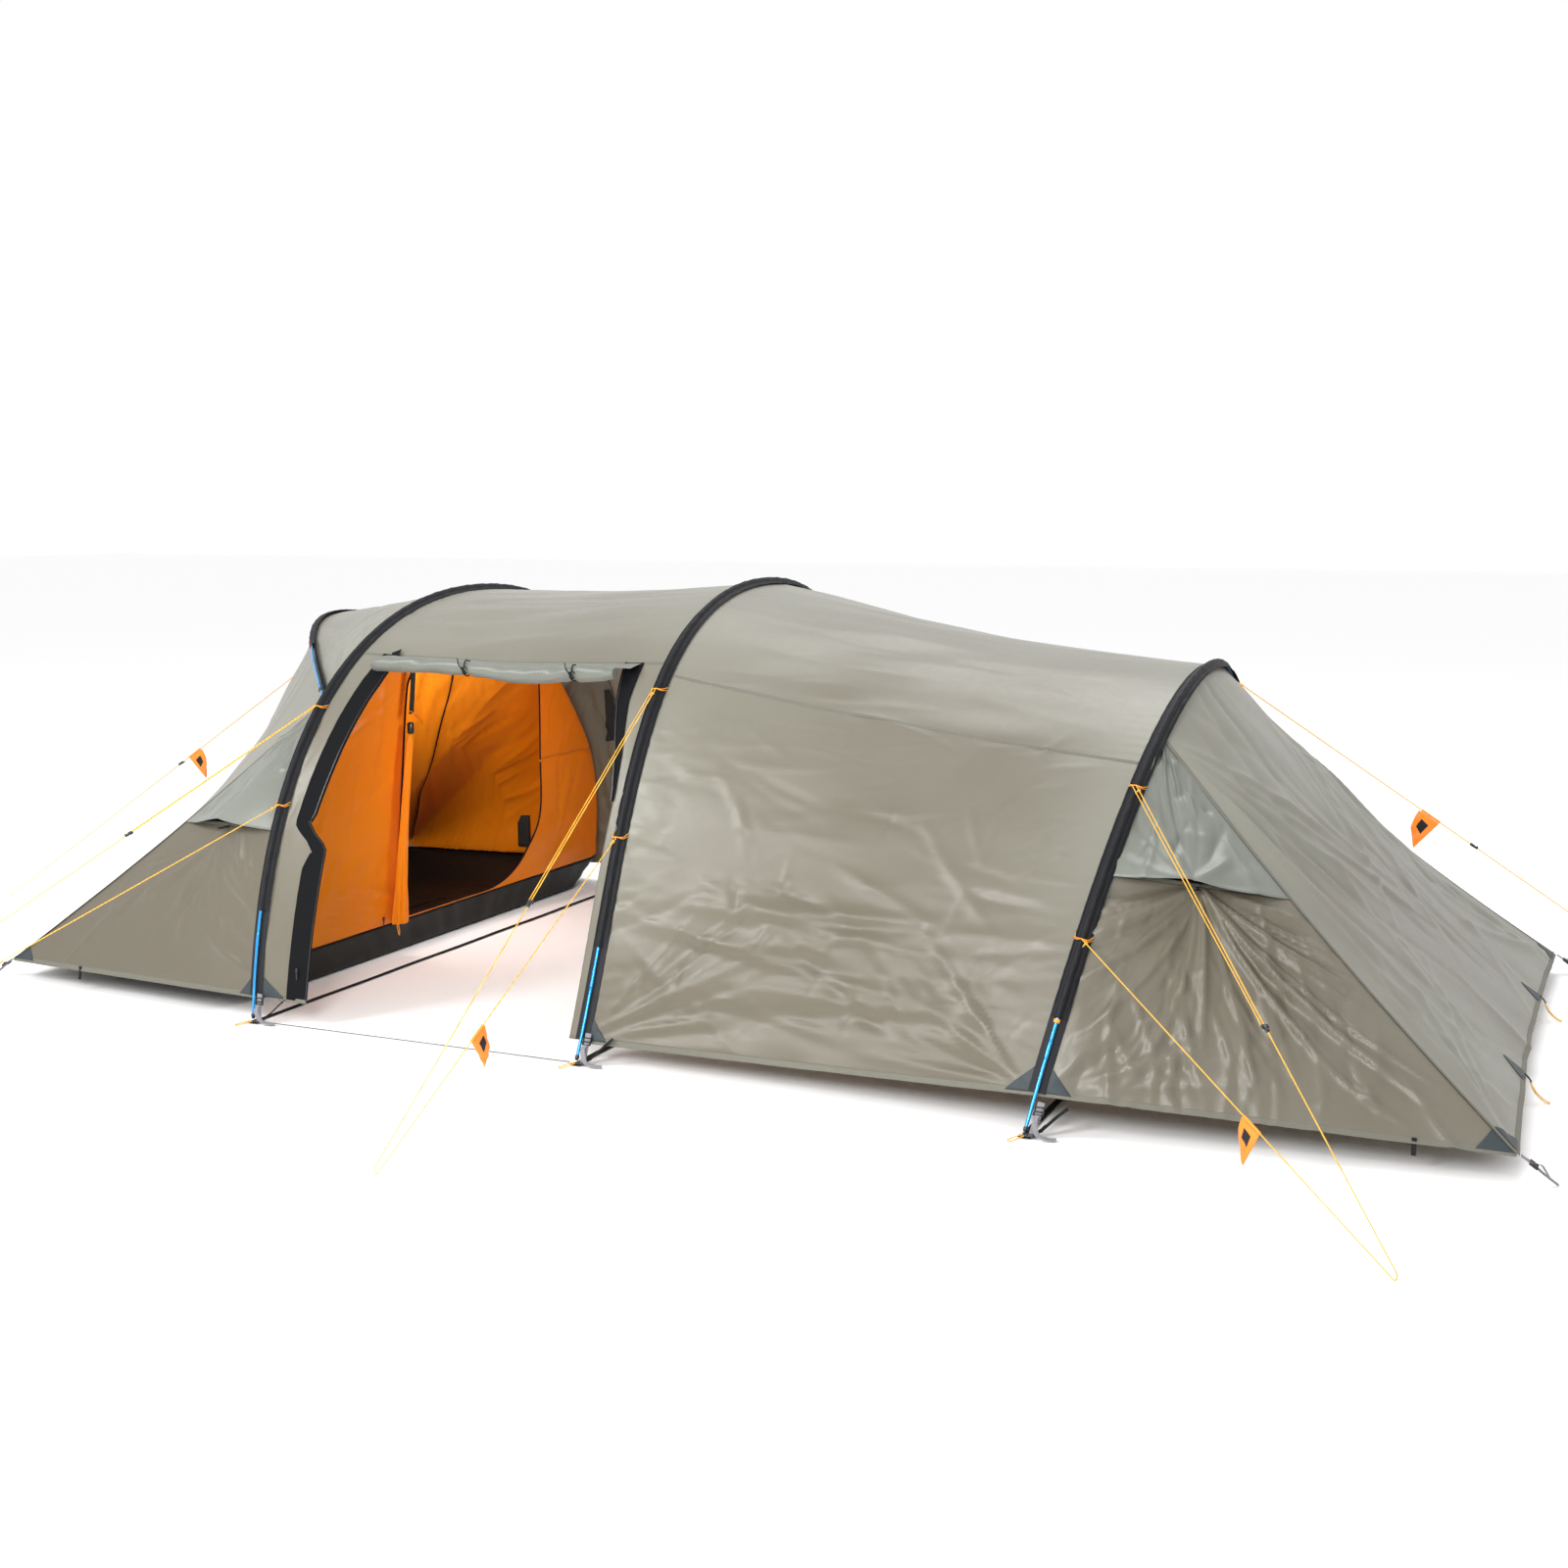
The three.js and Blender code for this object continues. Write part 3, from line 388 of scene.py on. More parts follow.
def ribbon(name, points, width, thickness, up, count=24, ripple=0.0):
    """Flat webbing with rounded edges along a line; its face looks towards up."""
    line = smooth_line(points, count)
    _, side, face = frames(line, up)
    outline = [
        (-0.5, 0), (-0.46, 0.42), (-0.3, 0.5), (0.3, 0.5), (0.46, 0.42), (0.5, 0), (0.46, -0.42),
        (0.3, -0.5), (-0.3, -0.5), (-0.46, -0.42)
    ]
    wave = ripple * np.sin(np.linspace(0, 9, count))[:, None]
    rings = [line + wave * face + side * a * width + face * b * thickness for a, b in outline]
    return loft(name, np.stack(rings, 1))


def rod(name, points, radius, up=(0, 0, 1), count=None, sides=10):
    """A round bar or cord of fixed or changing radius along a line."""
    line = np.asarray(points, float) if count is None else smooth_line(points, count)
    _, side, face = frames(line, up)
    turn = np.linspace(0, 2 * math.pi, sides, endpoint=False)
    radius = np.broadcast_to(radius, (len(line),))[:, None]
    rings = [line + radius * (math.cos(t) * side + math.sin(t) * face) for t in turn]
    return loft(name, np.stack(rings, 1))


def block(name, centre, size, axes=((1, 0, 0), (0, 1, 0), (0, 0, 1)), round_off=0.18, taper=1.0):
    """A moulded bar with rounded edges, in its own axes."""
    centre, axes = np.asarray(centre, float), [unit(a) for a in axes]
    half = np.asarray(size, float) / 2
    edge = min(half) * 2 * round_off
    outline = []
    for cx, cy, start in ((1, 1, 0), (-1, 1, 90), (-1, -1, 180), (1, -1, 270)):
        for step in (0, 45, 90):
            angle = math.radians(start + step)
            outline.append(
                (
                    cx * (half[0] - edge) + edge * math.cos(angle),
                    cy * (half[1] - edge) + edge * math.sin(angle)
                )
            )
    rings = []
    for z, shrink in ((-half[2], edge), (-half[2] + edge, 0), (half[2] - edge, 0), (half[2], edge)):
        scale = taper if z > 0 else 1
        rings.append([
            centre + axes[0] * (x - math.copysign(min(shrink, abs(x)), x)) * scale
            + axes[1] * (y - math.copysign(min(shrink, abs(y)), y)) * scale + axes[2] * z
            for x, y in outline
        ])
    return loft(name, rings)


def joined(name, objects):
    """Several meshes as one piece."""
    bpy.ops.object.select_all(action="DESELECT")
    for o in objects:
        o.select_set(True)
    bpy.context.view_layer.objects.active = objects[0]
    bpy.ops.object.join()
    objects[0].name = name
    return objects[0]


def ladder_lock(name, centre, axes, width=0.034, height=0.03, depth=0.009):
    """A webbing buckle: two side rails and three rungs, the middle one raised."""
    x, y, z = [unit(a) for a in axes]
    c = np.asarray(centre, float)
    rail = width * 0.13
    parts = []
    for side in (-1, 1):
        parts.append(block("rail", c + x * side * (width - rail) / 2, (rail, depth, height), axes, 0.3))
    for share, lift in ((-0.42, 0), (-0.05, 0.35), (0.42, 0)):
        parts.append(
            block(
                "rung", c + z * share * height + y * lift * depth,
                (width * 0.86, depth * 0.7, height * 0.16), axes, 0.3
            )
        )
    return joined(name, parts)


# ---- creases ------------------------------------------------------------------------


CREASE = 1.9


def creases(a, b, rows):
    """Height of a set of creases; a row is (a0, b0, angle, length, width, height, bend)."""
    out = np.zeros_like(a)
    for a0, b0, angle, length, width, height, bend in rows:
        c, s = math.cos(angle), math.sin(angle)
        p = (a - a0) * s + (b - b0) * c
        q = (a - a0) * c - (b - b0) * s - bend * p * p
        envelope = np.clip(1 - (2 * p / length) ** 2, 0, 1) ** 1.3
        away = np.abs(q) / (width * (0.45 + 0.55 * envelope))
        out += height * envelope * np.exp(-(away**1.5))
    return out * CREASE


def scattered(rng, count, a_range, b_range, angle, length, width, height, bend=0.0, down=0.35):
    """Random creases within ranges. angle is (mean, spread); a share of them, down, are hollows."""
    rows = []
    for _ in range(count):
        sign = -1 if rng.random() < down else 1
        rows.append((
            rng.uniform(*a_range), rng.uniform(*b_range), rng.normal(*angle), rng.uniform(*length),
            rng.uniform(*width), sign * rng.uniform(*height), rng.normal(0, bend),
        ))
    return rows


def fan(rng, count, a0, b0, angles, reach, width, height):
    """Creases that spread from one point, as from a loaded corner."""
    rows = []
    for angle in np.linspace(angles[0], angles[1], count):
        angle = angle + rng.normal(0, 0.04)
        long = rng.uniform(*reach)
        start = 0.42 * long
        rows.append((
            a0 + math.sin(angle) * start, b0 + math.cos(angle) * start, angle, long,
            rng.uniform(*width), rng.uniform(*height) * rng.choice((1, 1, -0.8)), rng.normal(0, 0.04),
        ))
    return rows


def ripples(a, b, rng, count, waves, angle, height):
    """A soft uneven swell, as the sum of a few long waves."""
    out = np.zeros_like(a)
    for _ in range(count):
        turn = rng.normal(*angle)
        k = 2 * math.pi / rng.uniform(*waves)
        out += np.sin(k * (a * math.cos(turn) - b * math.sin(turn)) + rng.uniform(0, 6.28)) * height / count
    return out


# ---- arches -------------------------------------------------------------------------


class Arch:
    """A hoop in its leaning plane, with the CAD source's numbers in metres."""

    def __init__(self, x, z, half, rise, lean, leg, leg_pull, crown_pull, trim=0.016):
        t = np.linspace(0, 1, 1500)[:, None]
        angle, reach = math.radians(leg), leg_pull * rise
        corners = [np.array(p) for p in (
            (-half, 0), (math.cos(angle) * reach - half, math.sin(angle) * reach),
            (-crown_pull * half, rise), (0, rise),
        )]
        near = sum(
            w * p for w, p in zip(((1 - t) ** 3, 3 * (1 - t) ** 2 * t, 3 * (1 - t) * t**2, t**3), corners)
        )
        line = np.vstack([near, near[-2::-1] * (-1, 1)])
        along = np.concatenate([[0], np.cumsum(np.linalg.norm(np.diff(line, axis=0), axis=1))])
        tangent = np.gradient(line, along, axis=0)
        self.long = along[-1]
        self.share, self.line = along / self.long, line
        self.tangent = tangent / np.linalg.norm(tangent, axis=1, keepdims=True)
        self.trim, self.x, self.z, self.half = trim / self.long, x, z, half
        self.lean, self.leg = math.radians(lean), angle

    def at(self, u, out=0.0, aside=0.0):
        """The point at u along the pole, moved outwards in the hoop's plane and sideways off it."""
        w = self.trim + (1 - 2 * self.trim) * np.asarray(u, float)
        y, z = (np.interp(w, self.share, self.line[:, i]) for i in (0, 1))
        ty, tz = (np.interp(w, self.share, self.tangent[:, i]) for i in (0, 1))
        y, z, aside = np.broadcast_arrays(y - tz * out, z + ty * out, aside)
        c, s = math.cos(self.lean), math.sin(self.lean)
        return np.stack([aside * c + z * s + self.x - ROW_X, y, z * c - aside * s + self.z], -1)

    def height(self, z):
        """Where the near leg reaches a height."""
        u = np.linspace(0, 0.5, 2000)
        return float(np.interp(z, self.at(u)[:, 2], u))


A = Arch(0.0, 0, 1.570, 1.651, 2.2, 87.7, 0.62, 0.66)
B = Arch(1.440, 0, 1.542, 1.701, 1.7, 66, 0.51, 0.76)
C = Arch(3.155, 0, 1.641, 1.433, 9, 67, 0.52, 0.52)
BROW = Arch(0.046, 1.219, 1.120, 0.821, -68.9, 44, 0.5, 0.3, trim=0.066)
HEM = {"a": A.height(0.105), "b": B.height(0.085), "c": C.height(0.135)}

# ---- guylines -----------------------------------------------------------------------

CORD = 0.004
PEG_TURN = 0.014
CORD_START = 0.014


def run(start, end, count):
    return [start + (end - start) * i / count for i in range(count)]


def cord(name, points, diameter, material, slot, body="tent", stands_for=(), **facts):
    """A cord as one open curve through its points; its length is measured."""
    points = [np.asarray(p, float) for p in points]
    data = bpy.data.curves.new(name, "CURVE")
    data.dimensions, data.bevel_depth, data.bevel_resolution = "3D", diameter / 2, 3
    data.use_fill_caps = True
    spline = data.splines.new("POLY")
    spline.points.add(len(points) - 1)
    for to, p in zip(spline.points, points):
        to.co = (*p, 1)
    obj = bpy.data.objects.new(name, data)
    bpy.context.collection.objects.link(obj)
    if body:
        place(obj, material, body, slot, stands_for)
    long = sum(np.linalg.norm(q - p) for p, q in zip(points, points[1:]))
    facts.setdefault("length", round(float(long), 3))
    tuple(points[0])
    return obj


def guy_route(upper, peg, lower):
    """From the upper loop down round the peg and back up to the lower loop."""
    middle = np.array([peg[0], peg[1], PEG_TURN + CORD])
    away = unit((peg[0] - upper[0], peg[1] - upper[1], 0))
    turn = [
        middle + PEG_TURN * (math.cos(math.radians(t)) * away
                             + math.sin(math.radians(t)) * np.array((0, 0, 1)))
        for t in (60, 20, -20, -60, -100)
    ]
    return run(upper, turn[0], 12) + turn + run(lower, turn[4], 12)[::-1]


def line_axes(start, end):
    """Along the line, upwards beside it, and to its side."""
    along = unit(end - start)
    side = unit((along[1], -along[0], 0))
    return along, np.cross(side, along), side


def runner(name, start, end, share, body):
    """A line grip: a tapered body with two ears and a lip, on its own sliding body."""
    along, up, side = line_axes(start, end)
    middle = start + (end - start) * share + along * 0.017
    parts = [
        block("core", middle, (0.013, 0.010, 0.034), (side, up, along), 0.3, 0.75),
        block("ear", middle + side * 0.0085 - along * 0.008, (0.005, 0.008, 0.016), (side, up, along), 0.3),
        block("ear", middle - side * 0.0085 - along * 0.008, (0.005, 0.008, 0.016), (side, up, along), 0.3),
        block("lip", middle + up * 0.006 + along * 0.011, (0.012, 0.004, 0.006), (side, up, along), 0.3),
    ]
    return place(
        joined(name, parts), PLASTIC, body, "black_plastic", (f"guy_{name}",)
    ), middle, along, up, side


def bag(name, start, end, share, seed):
    """A cloth pouch for spare line: a fluttering flag of two layers with a dark label patch and hem."""
    along, up, side = line_axes(start, end)
    origin = start + (end - start) * share
    rows, columns = 22, 30
    s, t = np.meshgrid(np.linspace(0, 1, rows), np.linspace(0, 1, columns), indexing="ij")
    # s goes down the pouch from its channel on the line, t goes along the line
    left = 0.006 + 0.014 * s * s
    right = 0.092 - 0.020 * s
    x = left + (right - left) * t
    y = -0.006 - s * (0.072 + 0.056 * t)
    rng = np.random.default_rng(seed)
    sway = 0.004 * np.sin(5 * x / 0.08 + 3 * s) * s + ripples(x, y, rng, 5, (0.02, 0.06), (0, 1), 0.004) * s
    layers = []
    for face in (1, -1):
        grid = (origin + x[..., None] * along + y[..., None] * up
                + (face * 0.0022 * np.sin(np.pi * np.clip(t, 0.02, 0.98)) ** 0.5 + sway)[..., None] * side)
        layers.append((grid if face > 0 else grid[:, ::-1], None, 0.3 + 0.4 * s))
    cloth = sheet(name + "_pouch", layers, 0.0008)
    rows_ = slice(5, 14)
    columns_ = slice(9, 22)
    front, back = layers[0][0][rows_, columns_], layers[1][0][:, ::-1][rows_, columns_]
    label = sheet(
        name + "_label", [(front + side * 0.0016, None, 0.4), (back[:, ::-1] - side * 0.0016, None, 0.4)],
        0.0006
    )
    channel = rod(name + "_channel", [origin + along * d for d in (0.014, 0.03, 0.07, 0.092)], 0.0048, up, 14)
    place(channel, BAG, "tent", "bag_fabric")
    place(label, SLEEVE, "tent", "sleeve_fabric")
    place(cloth, BAG, "tent", "bag_fabric", (name,))
    return [channel]


def knot(name, centre, along, size=0.005):
    """A small overhand knot with its tail."""
    along = unit(along)
    side = unit(np.cross(along, (0.2, 0.4, 1)))
    other = np.cross(along, side)
    t = np.linspace(0, 4 * math.pi, 36)[:, None]
    line = centre + along * size * 0.45 * np.sin(t * 1.5) + size * (
        np.cos(t) * side + np.sin(t) * other
    ) * (0.7 + 0.2 * np.cos(t * 0.5))
    tail = line[-1] + np.linspace(0, 1, 8)[1:, None] * (other * 2.6 + along * 1.2 + side) * size
    return place(rod(name, np.vstack([line, tail]), CORD * 0.42, along, sides=8), GUYLINE, "tent", "guyline")


GUYS = {
    "a": (A, 1.205, 0.838, (-0.843, -3.133), 0.36, None),
    "b": (B, 1.314, 0.790, (1.478, -2.787), 0.50, 0.60),
    "c": (C, 1.050, 0.590, (4.374, -2.350), 0.56, 0.57),
}
END_GUYS = {
    "front": ((3.480, 0, 1.342), (5.541, 0, 0.004), 0.42, 0.33),
    "rear": ((-0.905, 0, 1.262), (-2.760, -0.150, 0.004), 0.40, 0.34),
}


def second_strand(key, start, middle, along, up, side):
    """The strand that comes back from the runner to the upper loop."""
    top = start + side * 0.014 - up * 0.002
    foot = middle - along * 0.012 + side * 0.0095
    points = [top + (foot - top) * i / 15 for i in range(16)]
    strand = rod(f"guy_{key}_return", points, CORD * 0.45, up, sides=8)
    strand.data.materials.append(GUYLINE)
    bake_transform(strand)
    [tuple(p) for p in points]


def sleeve_loops(name, arch, z, start):
    """Two short loops of cord, sewn in beside the sleeve, that meet where the guyline is tied."""
    parts = []
    for side in (-1, 1):
        for step in (-0.006, 0.006):
            foot = arch.at(
                arch.height(z + 0.004) + (step + 0.012) / arch.long, -CLOTH_DEPTH + 0.003, side * 0.031
            )
            middle = arch.at(arch.height(z) + step * 0.5 / arch.long, 0.006, side * 0.022)
            parts.append(rod("strand", [foot, middle, start], 0.0014, (1, 0, 0), 10, 6))
    return place(joined(name, parts), ELASTIC, "tent", "guyline")


for key, (arch, upper_z, lower_z, peg, runner_at, bag_at) in GUYS.items():
    upper = arch.at(arch.height(upper_z), CORD_START)
    lower = arch.at(arch.height(lower_z), CORD_START)
    route = guy_route(upper, (peg[0] - ROW_X, peg[1]), lower)
    grip, middle, along, up, side = runner(f"runner_{key}", upper, route[12], runner_at, f"runner_{key}")
    on_it = [
        grip, sleeve_loops(f"guy_{key}_upper_loops", arch, upper_z, upper),
        sleeve_loops(f"guy_{key}_lower_loops", arch, lower_z, lower)
    ]
    on_it += [
        knot(f"guy_{key}_upper_knot", upper + along * 0.03, along),
        knot(f"guy_{key}_lower_knot", lower + unit(route[16] - lower) * 0.03, route[16] - lower)
    ]
    if bag_at:
        on_it += bag(f"guy_bag_{key}", lower, route[16], bag_at, ord(key))
    cord(f"guy_{key}_line", route, CORD, GUYLINE, "guyline", stands_for=(f"guy_{key}",),
         far_end="object", stiffness="limp", lay="taut", with_pieces=on_it)
    second_strand(key, upper, middle, along, up, side)

for key, (start, peg, runner_at, bag_at) in END_GUYS.items():
    start, peg = (np.array([p[0] - ROW_X, p[1], p[2]]) for p in (start, peg))
    grip, middle, along, up, side = runner(f"runner_{key}", start, peg, runner_at, f"runner_{key}")
    channel = bag(f"guy_bag_{key}", start, peg, bag_at, ord(key[0]))
    cord(f"guy_{key}_line", run(start, peg, 16) + [peg], CORD, GUYLINE, "guyline", stands_for=(f"guy_{key}",),
         far_end="bare", stiffness="limp", lay="taut",
         with_pieces=[grip, *channel, knot(f"guy_{key}_knot", start + along * 0.02, along)])

threshold = [np.array([0.052 - ROW_X, -1.570, 0.008]), np.array([1.415 - ROW_X, -1.542, 0.008])]
cord("threshold_line", run(*threshold, 12) + [threshold[1]], CORD, CORD_GREY, "grey_cord",
     stands_for=("threshold_cord",),
     far_end="object", stiffness="limp", lay="taut")

# ---- poles and sleeves --------------------------------------------------------------


def pole(key, arch, name):
    """An alloy pole with its joints and a rounded tip at each end."""
    u = np.unique(
        np.concatenate(
            [
                np.linspace(0, 1, 220),
                *[[m - 0.006, m - 0.0055, m + 0.0055, m + 0.006] for m in np.arange(0.06, 1, 0.11)]
            ]
        )
    )
    radius = np.where(np.min(np.abs(u[:, None] - np.arange(0.06, 1, 0.11)), 1) < 0.0057, 0.0069, 0.006)
    radius[0] = radius[-1] = 0.0045
    turn = np.linspace(0, 2 * math.pi, 14, endpoint=False)
    rings = np.stack([arch.at(u, radius * math.cos(t), radius * math.sin(t)) for t in turn], 1)
    place(loft(f"{name}_tube", rings), POLE, "tent", "pole_alloy", (name,))
    for side, ends in (("near", (0, 0.004)), ("far", (1, 0.996))):
        u = np.linspace(*ends, 6)
        r = np.array([0.004, 0.0065, 0.0078, 0.0078, 0.0078, 0.0064])
        rings = np.stack([arch.at(u, r * math.cos(t), r * math.sin(t)) for t in turn], 1)
        place(loft(f"{name}_tip_{side}", rings), PLASTIC, "tent", "black_plastic")


def sleeve(name, arch, start, end, half, crown, seed):
    """A cloth channel sewn over the pole: flat edges, a round crown, small gathers, two rows of stitches."""
    count = int(arch.long / 0.012)
    u = np.linspace(start, end, count)
    flat = CLOTH_DEPTH - 0.0012
    # half of the cross-section, from the sewn edge to the crown over the pole, as sideways and outward places
    side = [(half, -flat), (half - 0.0005, -flat + 0.0018),
            (0.019 if half > 0.02 else 0.0145, -flat + 0.0030),
            (0.0155 if half > 0.02 else 0.0125, -flat + 0.0040), (0.0110, -0.0062), (0.0096, 0.0004),
            (0.0072, 0.0066), (0.0036, 0.0095)]
    profile = [(-aside, out) for aside, out in side] + [(0.0, crown)] + side[::-1]
    rng = np.random.default_rng(seed)
    along = u * arch.long
    rings = []
    for aside, out in profile:
        gather = sum(
            rng.uniform(0.2, 0.5) * np.sin(
                2 * math.pi * along / rng.uniform(0.03, 0.16) + rng.uniform(0, 6)
            )
            for _ in range(4)
        )
        slack = 0.0012 * (1 - abs(aside) / half) + 0.0004
        rings.append(arch.at(u, out + gather * slack, aside + gather * 0.0009))
    outer = np.stack(rings, 1)
    sides = outer.shape[1]
    # painted light: the crown over the pole is kept lighter and the sewn edges darker, as light falls on the
    # round sleeve
    obj = sheet(name, [(outer, None, 0.35 + 0.3 * np.abs(np.linspace(-1, 1, sides))[None, :])], 0.0014)
    for side in (-1, 1):
        # each stitch row is a fine raised thread beside the edge
        thread = arch.at(u, -flat + 0.0042, side * half * 0.8)
        stitched = rod(f"{name}_stitch_{'ab'[side > 0]}", thread, 0.0006, (1, 0, 0), sides=5)
        place(stitched, BAND, "tent", "sleeve_fabric")
    return obj


MAIN_HALF, BROW_HALF = 0.030, 0.018
MAIN_CROWN, BROW_CROWN = 0.0112, 0.0105
MAIN_SHARE, BROW_SHARE = (3 / 36, 33 / 36), (6 / 24, 20 / 24)
TAPE_TOP = 3.4 / 36


def flat_tape(name, arch, start, end, half, count):
    """A flat strip of sleeve cloth behind the pole, between the sewn edges."""
    u = np.linspace(start, end, count)
    inner = half - 0.002
    profile = ((-half, 0.0), (-inner, 0.0022), (0.0, 0.0028), (inner, 0.0022), (half, 0.0), (0.0, 0.0008))
    tape = np.stack([arch.at(u, -CLOTH_DEPTH + 0.002 + out, aside) for aside, out in profile], 1)
    place(loft(name, tape), SLEEVE, "tent", "sleeve_fabric")


for key, arch in (("a", A), ("b", B), ("c", C)):
    pole(key, arch, f"pole_{key}")
    obj = sleeve(f"sleeve_{key}_cloth", arch, *MAIN_SHARE, MAIN_HALF, MAIN_CROWN, ord(key))
    place(obj, SLEEVE, "tent", "sleeve_fabric", (f"sleeve_{key}",))
    # below its end the sleeve goes on as a flat tape behind the bare pole
    flat_tape(f"sleeve_{key}_tape_near", arch, HEM[key], TAPE_TOP, MAIN_HALF, 16)
    flat_tape(f"sleeve_{key}_tape_far", arch, 1 - HEM[key], 1 - TAPE_TOP, MAIN_HALF, 16)
pole("brow", BROW, "pole_brow")
obj = sleeve("sleeve_brow_cloth", BROW, *BROW_SHARE, BROW_HALF, BROW_CROWN, 7)
place(obj, SLEEVE, "tent", "sleeve_fabric", ("sleeve_brow",))
flat_tape("sleeve_brow_back", BROW, *BROW_SHARE, BROW_HALF - 0.0005, 90)

# ---- fly: the bays between the hoops ------------------------------------------------


def along_arch(arch, knots, counts):
    """Places along an arch that land on the given knots."""
    parts = [np.linspace(a, b, n, endpoint=False) for a, b, n in zip(knots, knots[1:], counts)]
    return np.concatenate([*parts, [knots[-1]]])


def bay(rear, front, rear_u, front_u, v, sag):
    """Cloth between two hoops; it pulls inwards between them by sag, which varies round the tent."""
    depth = CLOTH_DEPTH + sag[:, None] * np.sin(math.pi * v)
    start = rear.at(rear_u[:, None], -depth, SEAM_GAP)
    end = front.at(front_u[:, None], -depth, -SEAM_GAP)
    return start + (end - start) * (v[..., None] if v.ndim == 2 else v[None, :, None])


def edge_fade(b, width, reach=0.05):
    """Nothing at a sleeve's seam, everything a little way off it."""
    near = np.minimum(b, width - b) / reach
    return np.clip(near, 0, 1) ** 0.8


def puckers(a, b, width, rng, height=0.0011, pitch=0.045):
    """Small gathers where cloth is sewn to a sleeve."""
    wave = np.sin(
        2 * math.pi * a / pitch + 1.4 * np.sin(a * 5.1)
    ) + 0.6 * np.sin(2 * math.pi * a / (pitch * 0.61) + 2)
    return height * wave * (
        np.exp(-b / 0.07) + np.exp(-(width - b) / 0.07)
    ) * np.clip(np.minimum(b, width - b) / 0.01, 0, 1)


def main_bay():
    eave = {"b": B.height(1.380), "c": C.height(1.130)}
    counts = (86, 128, 86)
    rear_u = along_arch(B, (HEM["b"], eave["b"], 1 - eave["b"], 1 - HEM["b"]), counts)
    front_u = along_arch(C, (HEM["c"], eave["c"], 1 - eave["c"], 1 - HEM["c"]), counts)
    v = np.linspace(0, 1, 128)
    share = np.linspace(0, 1, len(rear_u))
    sag = 0.020 + 0.025 * np.clip((0.5 - np.abs(share - 0.5) - 0.2) / 0.2, 0, 1) ** 2 * (
        3 - 2 * np.clip((0.5 - np.abs(share - 0.5) - 0.2) / 0.2, 0, 1)
    )
    grid = bay(B, C, rear_u, front_u, v, sag)
    a, b = lengths(grid, 0), lengths(grid, 1)
    width = b[:, -1:]
    rng = np.random.default_rng(31)
    top = a.max()
    rows = []
    for mirror in (False, True):
        near = []
        near += scattered(
            rng, 50, (0.12, 1.30), (0.15, 1.6), (-0.15, 0.40), (0.25, 0.7), (0.009, 0.022),
            (0.0012, 0.0042), 0.30
        )
        near += scattered(
            rng, 70, (0.10, 1.30), (0.10, 1.65), (0.25, 0.85), (0.10, 0.35), (0.006, 0.013),
            (0.0008, 0.0024), 0.30
        )
        near += scattered(
            rng, 14, (0.10, 0.55), (0.3, 1.4), (-0.08, 0.12), (0.8, 1.5), (0.018, 0.04), (0.003, 0.007),
            0.06
        )
        near += fan(rng, 13, 0.02, 0.03, (0.02, 0.9), (0.35, 1.0), (0.010, 0.02), (0.0025, 0.005))
        near += fan(
            rng, 13, 0.02, 1.68, (math.pi - 0.9, math.pi - 0.02), (0.3, 0.9), (0.010, 0.02), (0.0025, 0.005)
        )
        near += scattered(
            rng, 34, (0.2, 1.25), (0.04, 0.22), (0.0, 0.35), (0.12, 0.35), (0.008, 0.016), (0.001, 0.003),
            0.3
        )
        near += scattered(
            rng, 34, (0.2, 1.1), (1.45, 1.65), (0.25, 0.35), (0.12, 0.4), (0.008, 0.016), (0.001, 0.003),
            0.3
        )
        for a0, b0, angle, long, wide, high, bend in near:
            rows.append(
                (top - a0, b0, -angle, long, wide, high, -bend)
                if mirror else (a0, b0, angle, long, wide, high, bend)
            )
    rows += scattered(
        rng, 40, (1.35, top - 1.35), (0.2, 1.5), (0.0, 0.12), (0.5, 1.4), (0.015, 0.05), (0.0008, 0.0028),
        0.08
    )
    bumps = creases(a, b, rows) * edge_fade(b, width) + ripples(
        a, b, rng, 9, (0.18, 0.5), (0.1, 0.4), 0.010
    ) * np.sin(math.pi * b / width)
    bumps += puckers(a, b, width, rng)
    hem = np.minimum(a, top - a)
    bumps += 0.003 * np.sin(2 * math.pi * b / 0.31 + 0.6) * np.exp(-hem / 0.06) * np.sin(math.pi * b / width)
    grid = grid + normals(grid) * bumps[..., None]
    # painted light and shade: the middle of the near side is darkened to a brown, painted in for light coming
    # through the cloth from behind, and the cloth darkens towards each hem as painted shade
    middle = np.sin(math.pi * b / width) * np.clip(1.35 - np.abs(a / top - 0.25) * 5.0, 0, 1)
    low = np.clip(1 - hem / 0.16, 0, 1)
    painted_shade_and_tone = 0.12 + 0.62 * middle * (1 - 0.7 * low) + 1.05 * np.clip(1 - hem / 0.85, 0, 1)
    return grid, painted_shade_and_tone, a, b, counts


grid, painted_shade_and_tone, a, b, counts = main_bay()
main_grid = grid
obj = sheet("fly_main_cloth", [(grid, None, painted_shade_and_tone)])
place(obj, FLY, "tent", "fly_fabric", ("fly_main_roof", "fly_main_side_near", "fly_main_side_far"))


def seam(name, line, up, material=FLY, width=0.013):
    """A felled seam: a narrow doubled strip lying on the cloth."""
    line = np.asarray(line, float)
    _, side, _ = frames(line, up)
    up = np.broadcast_to(np.asarray(up, float), line.shape)
    outline = (
        (-0.5, 0.0), (-0.44, 0.0012), (-0.2, 0.0016), (0, 0.0009), (0.2, 0.0016), (0.44, 0.0012),
        (0.5, 0.0), (0.0, -0.0006)
    )
    rings = np.stack([line + side * w * width + up * h for w, h in outline], 1)
    return loft(name, rings)


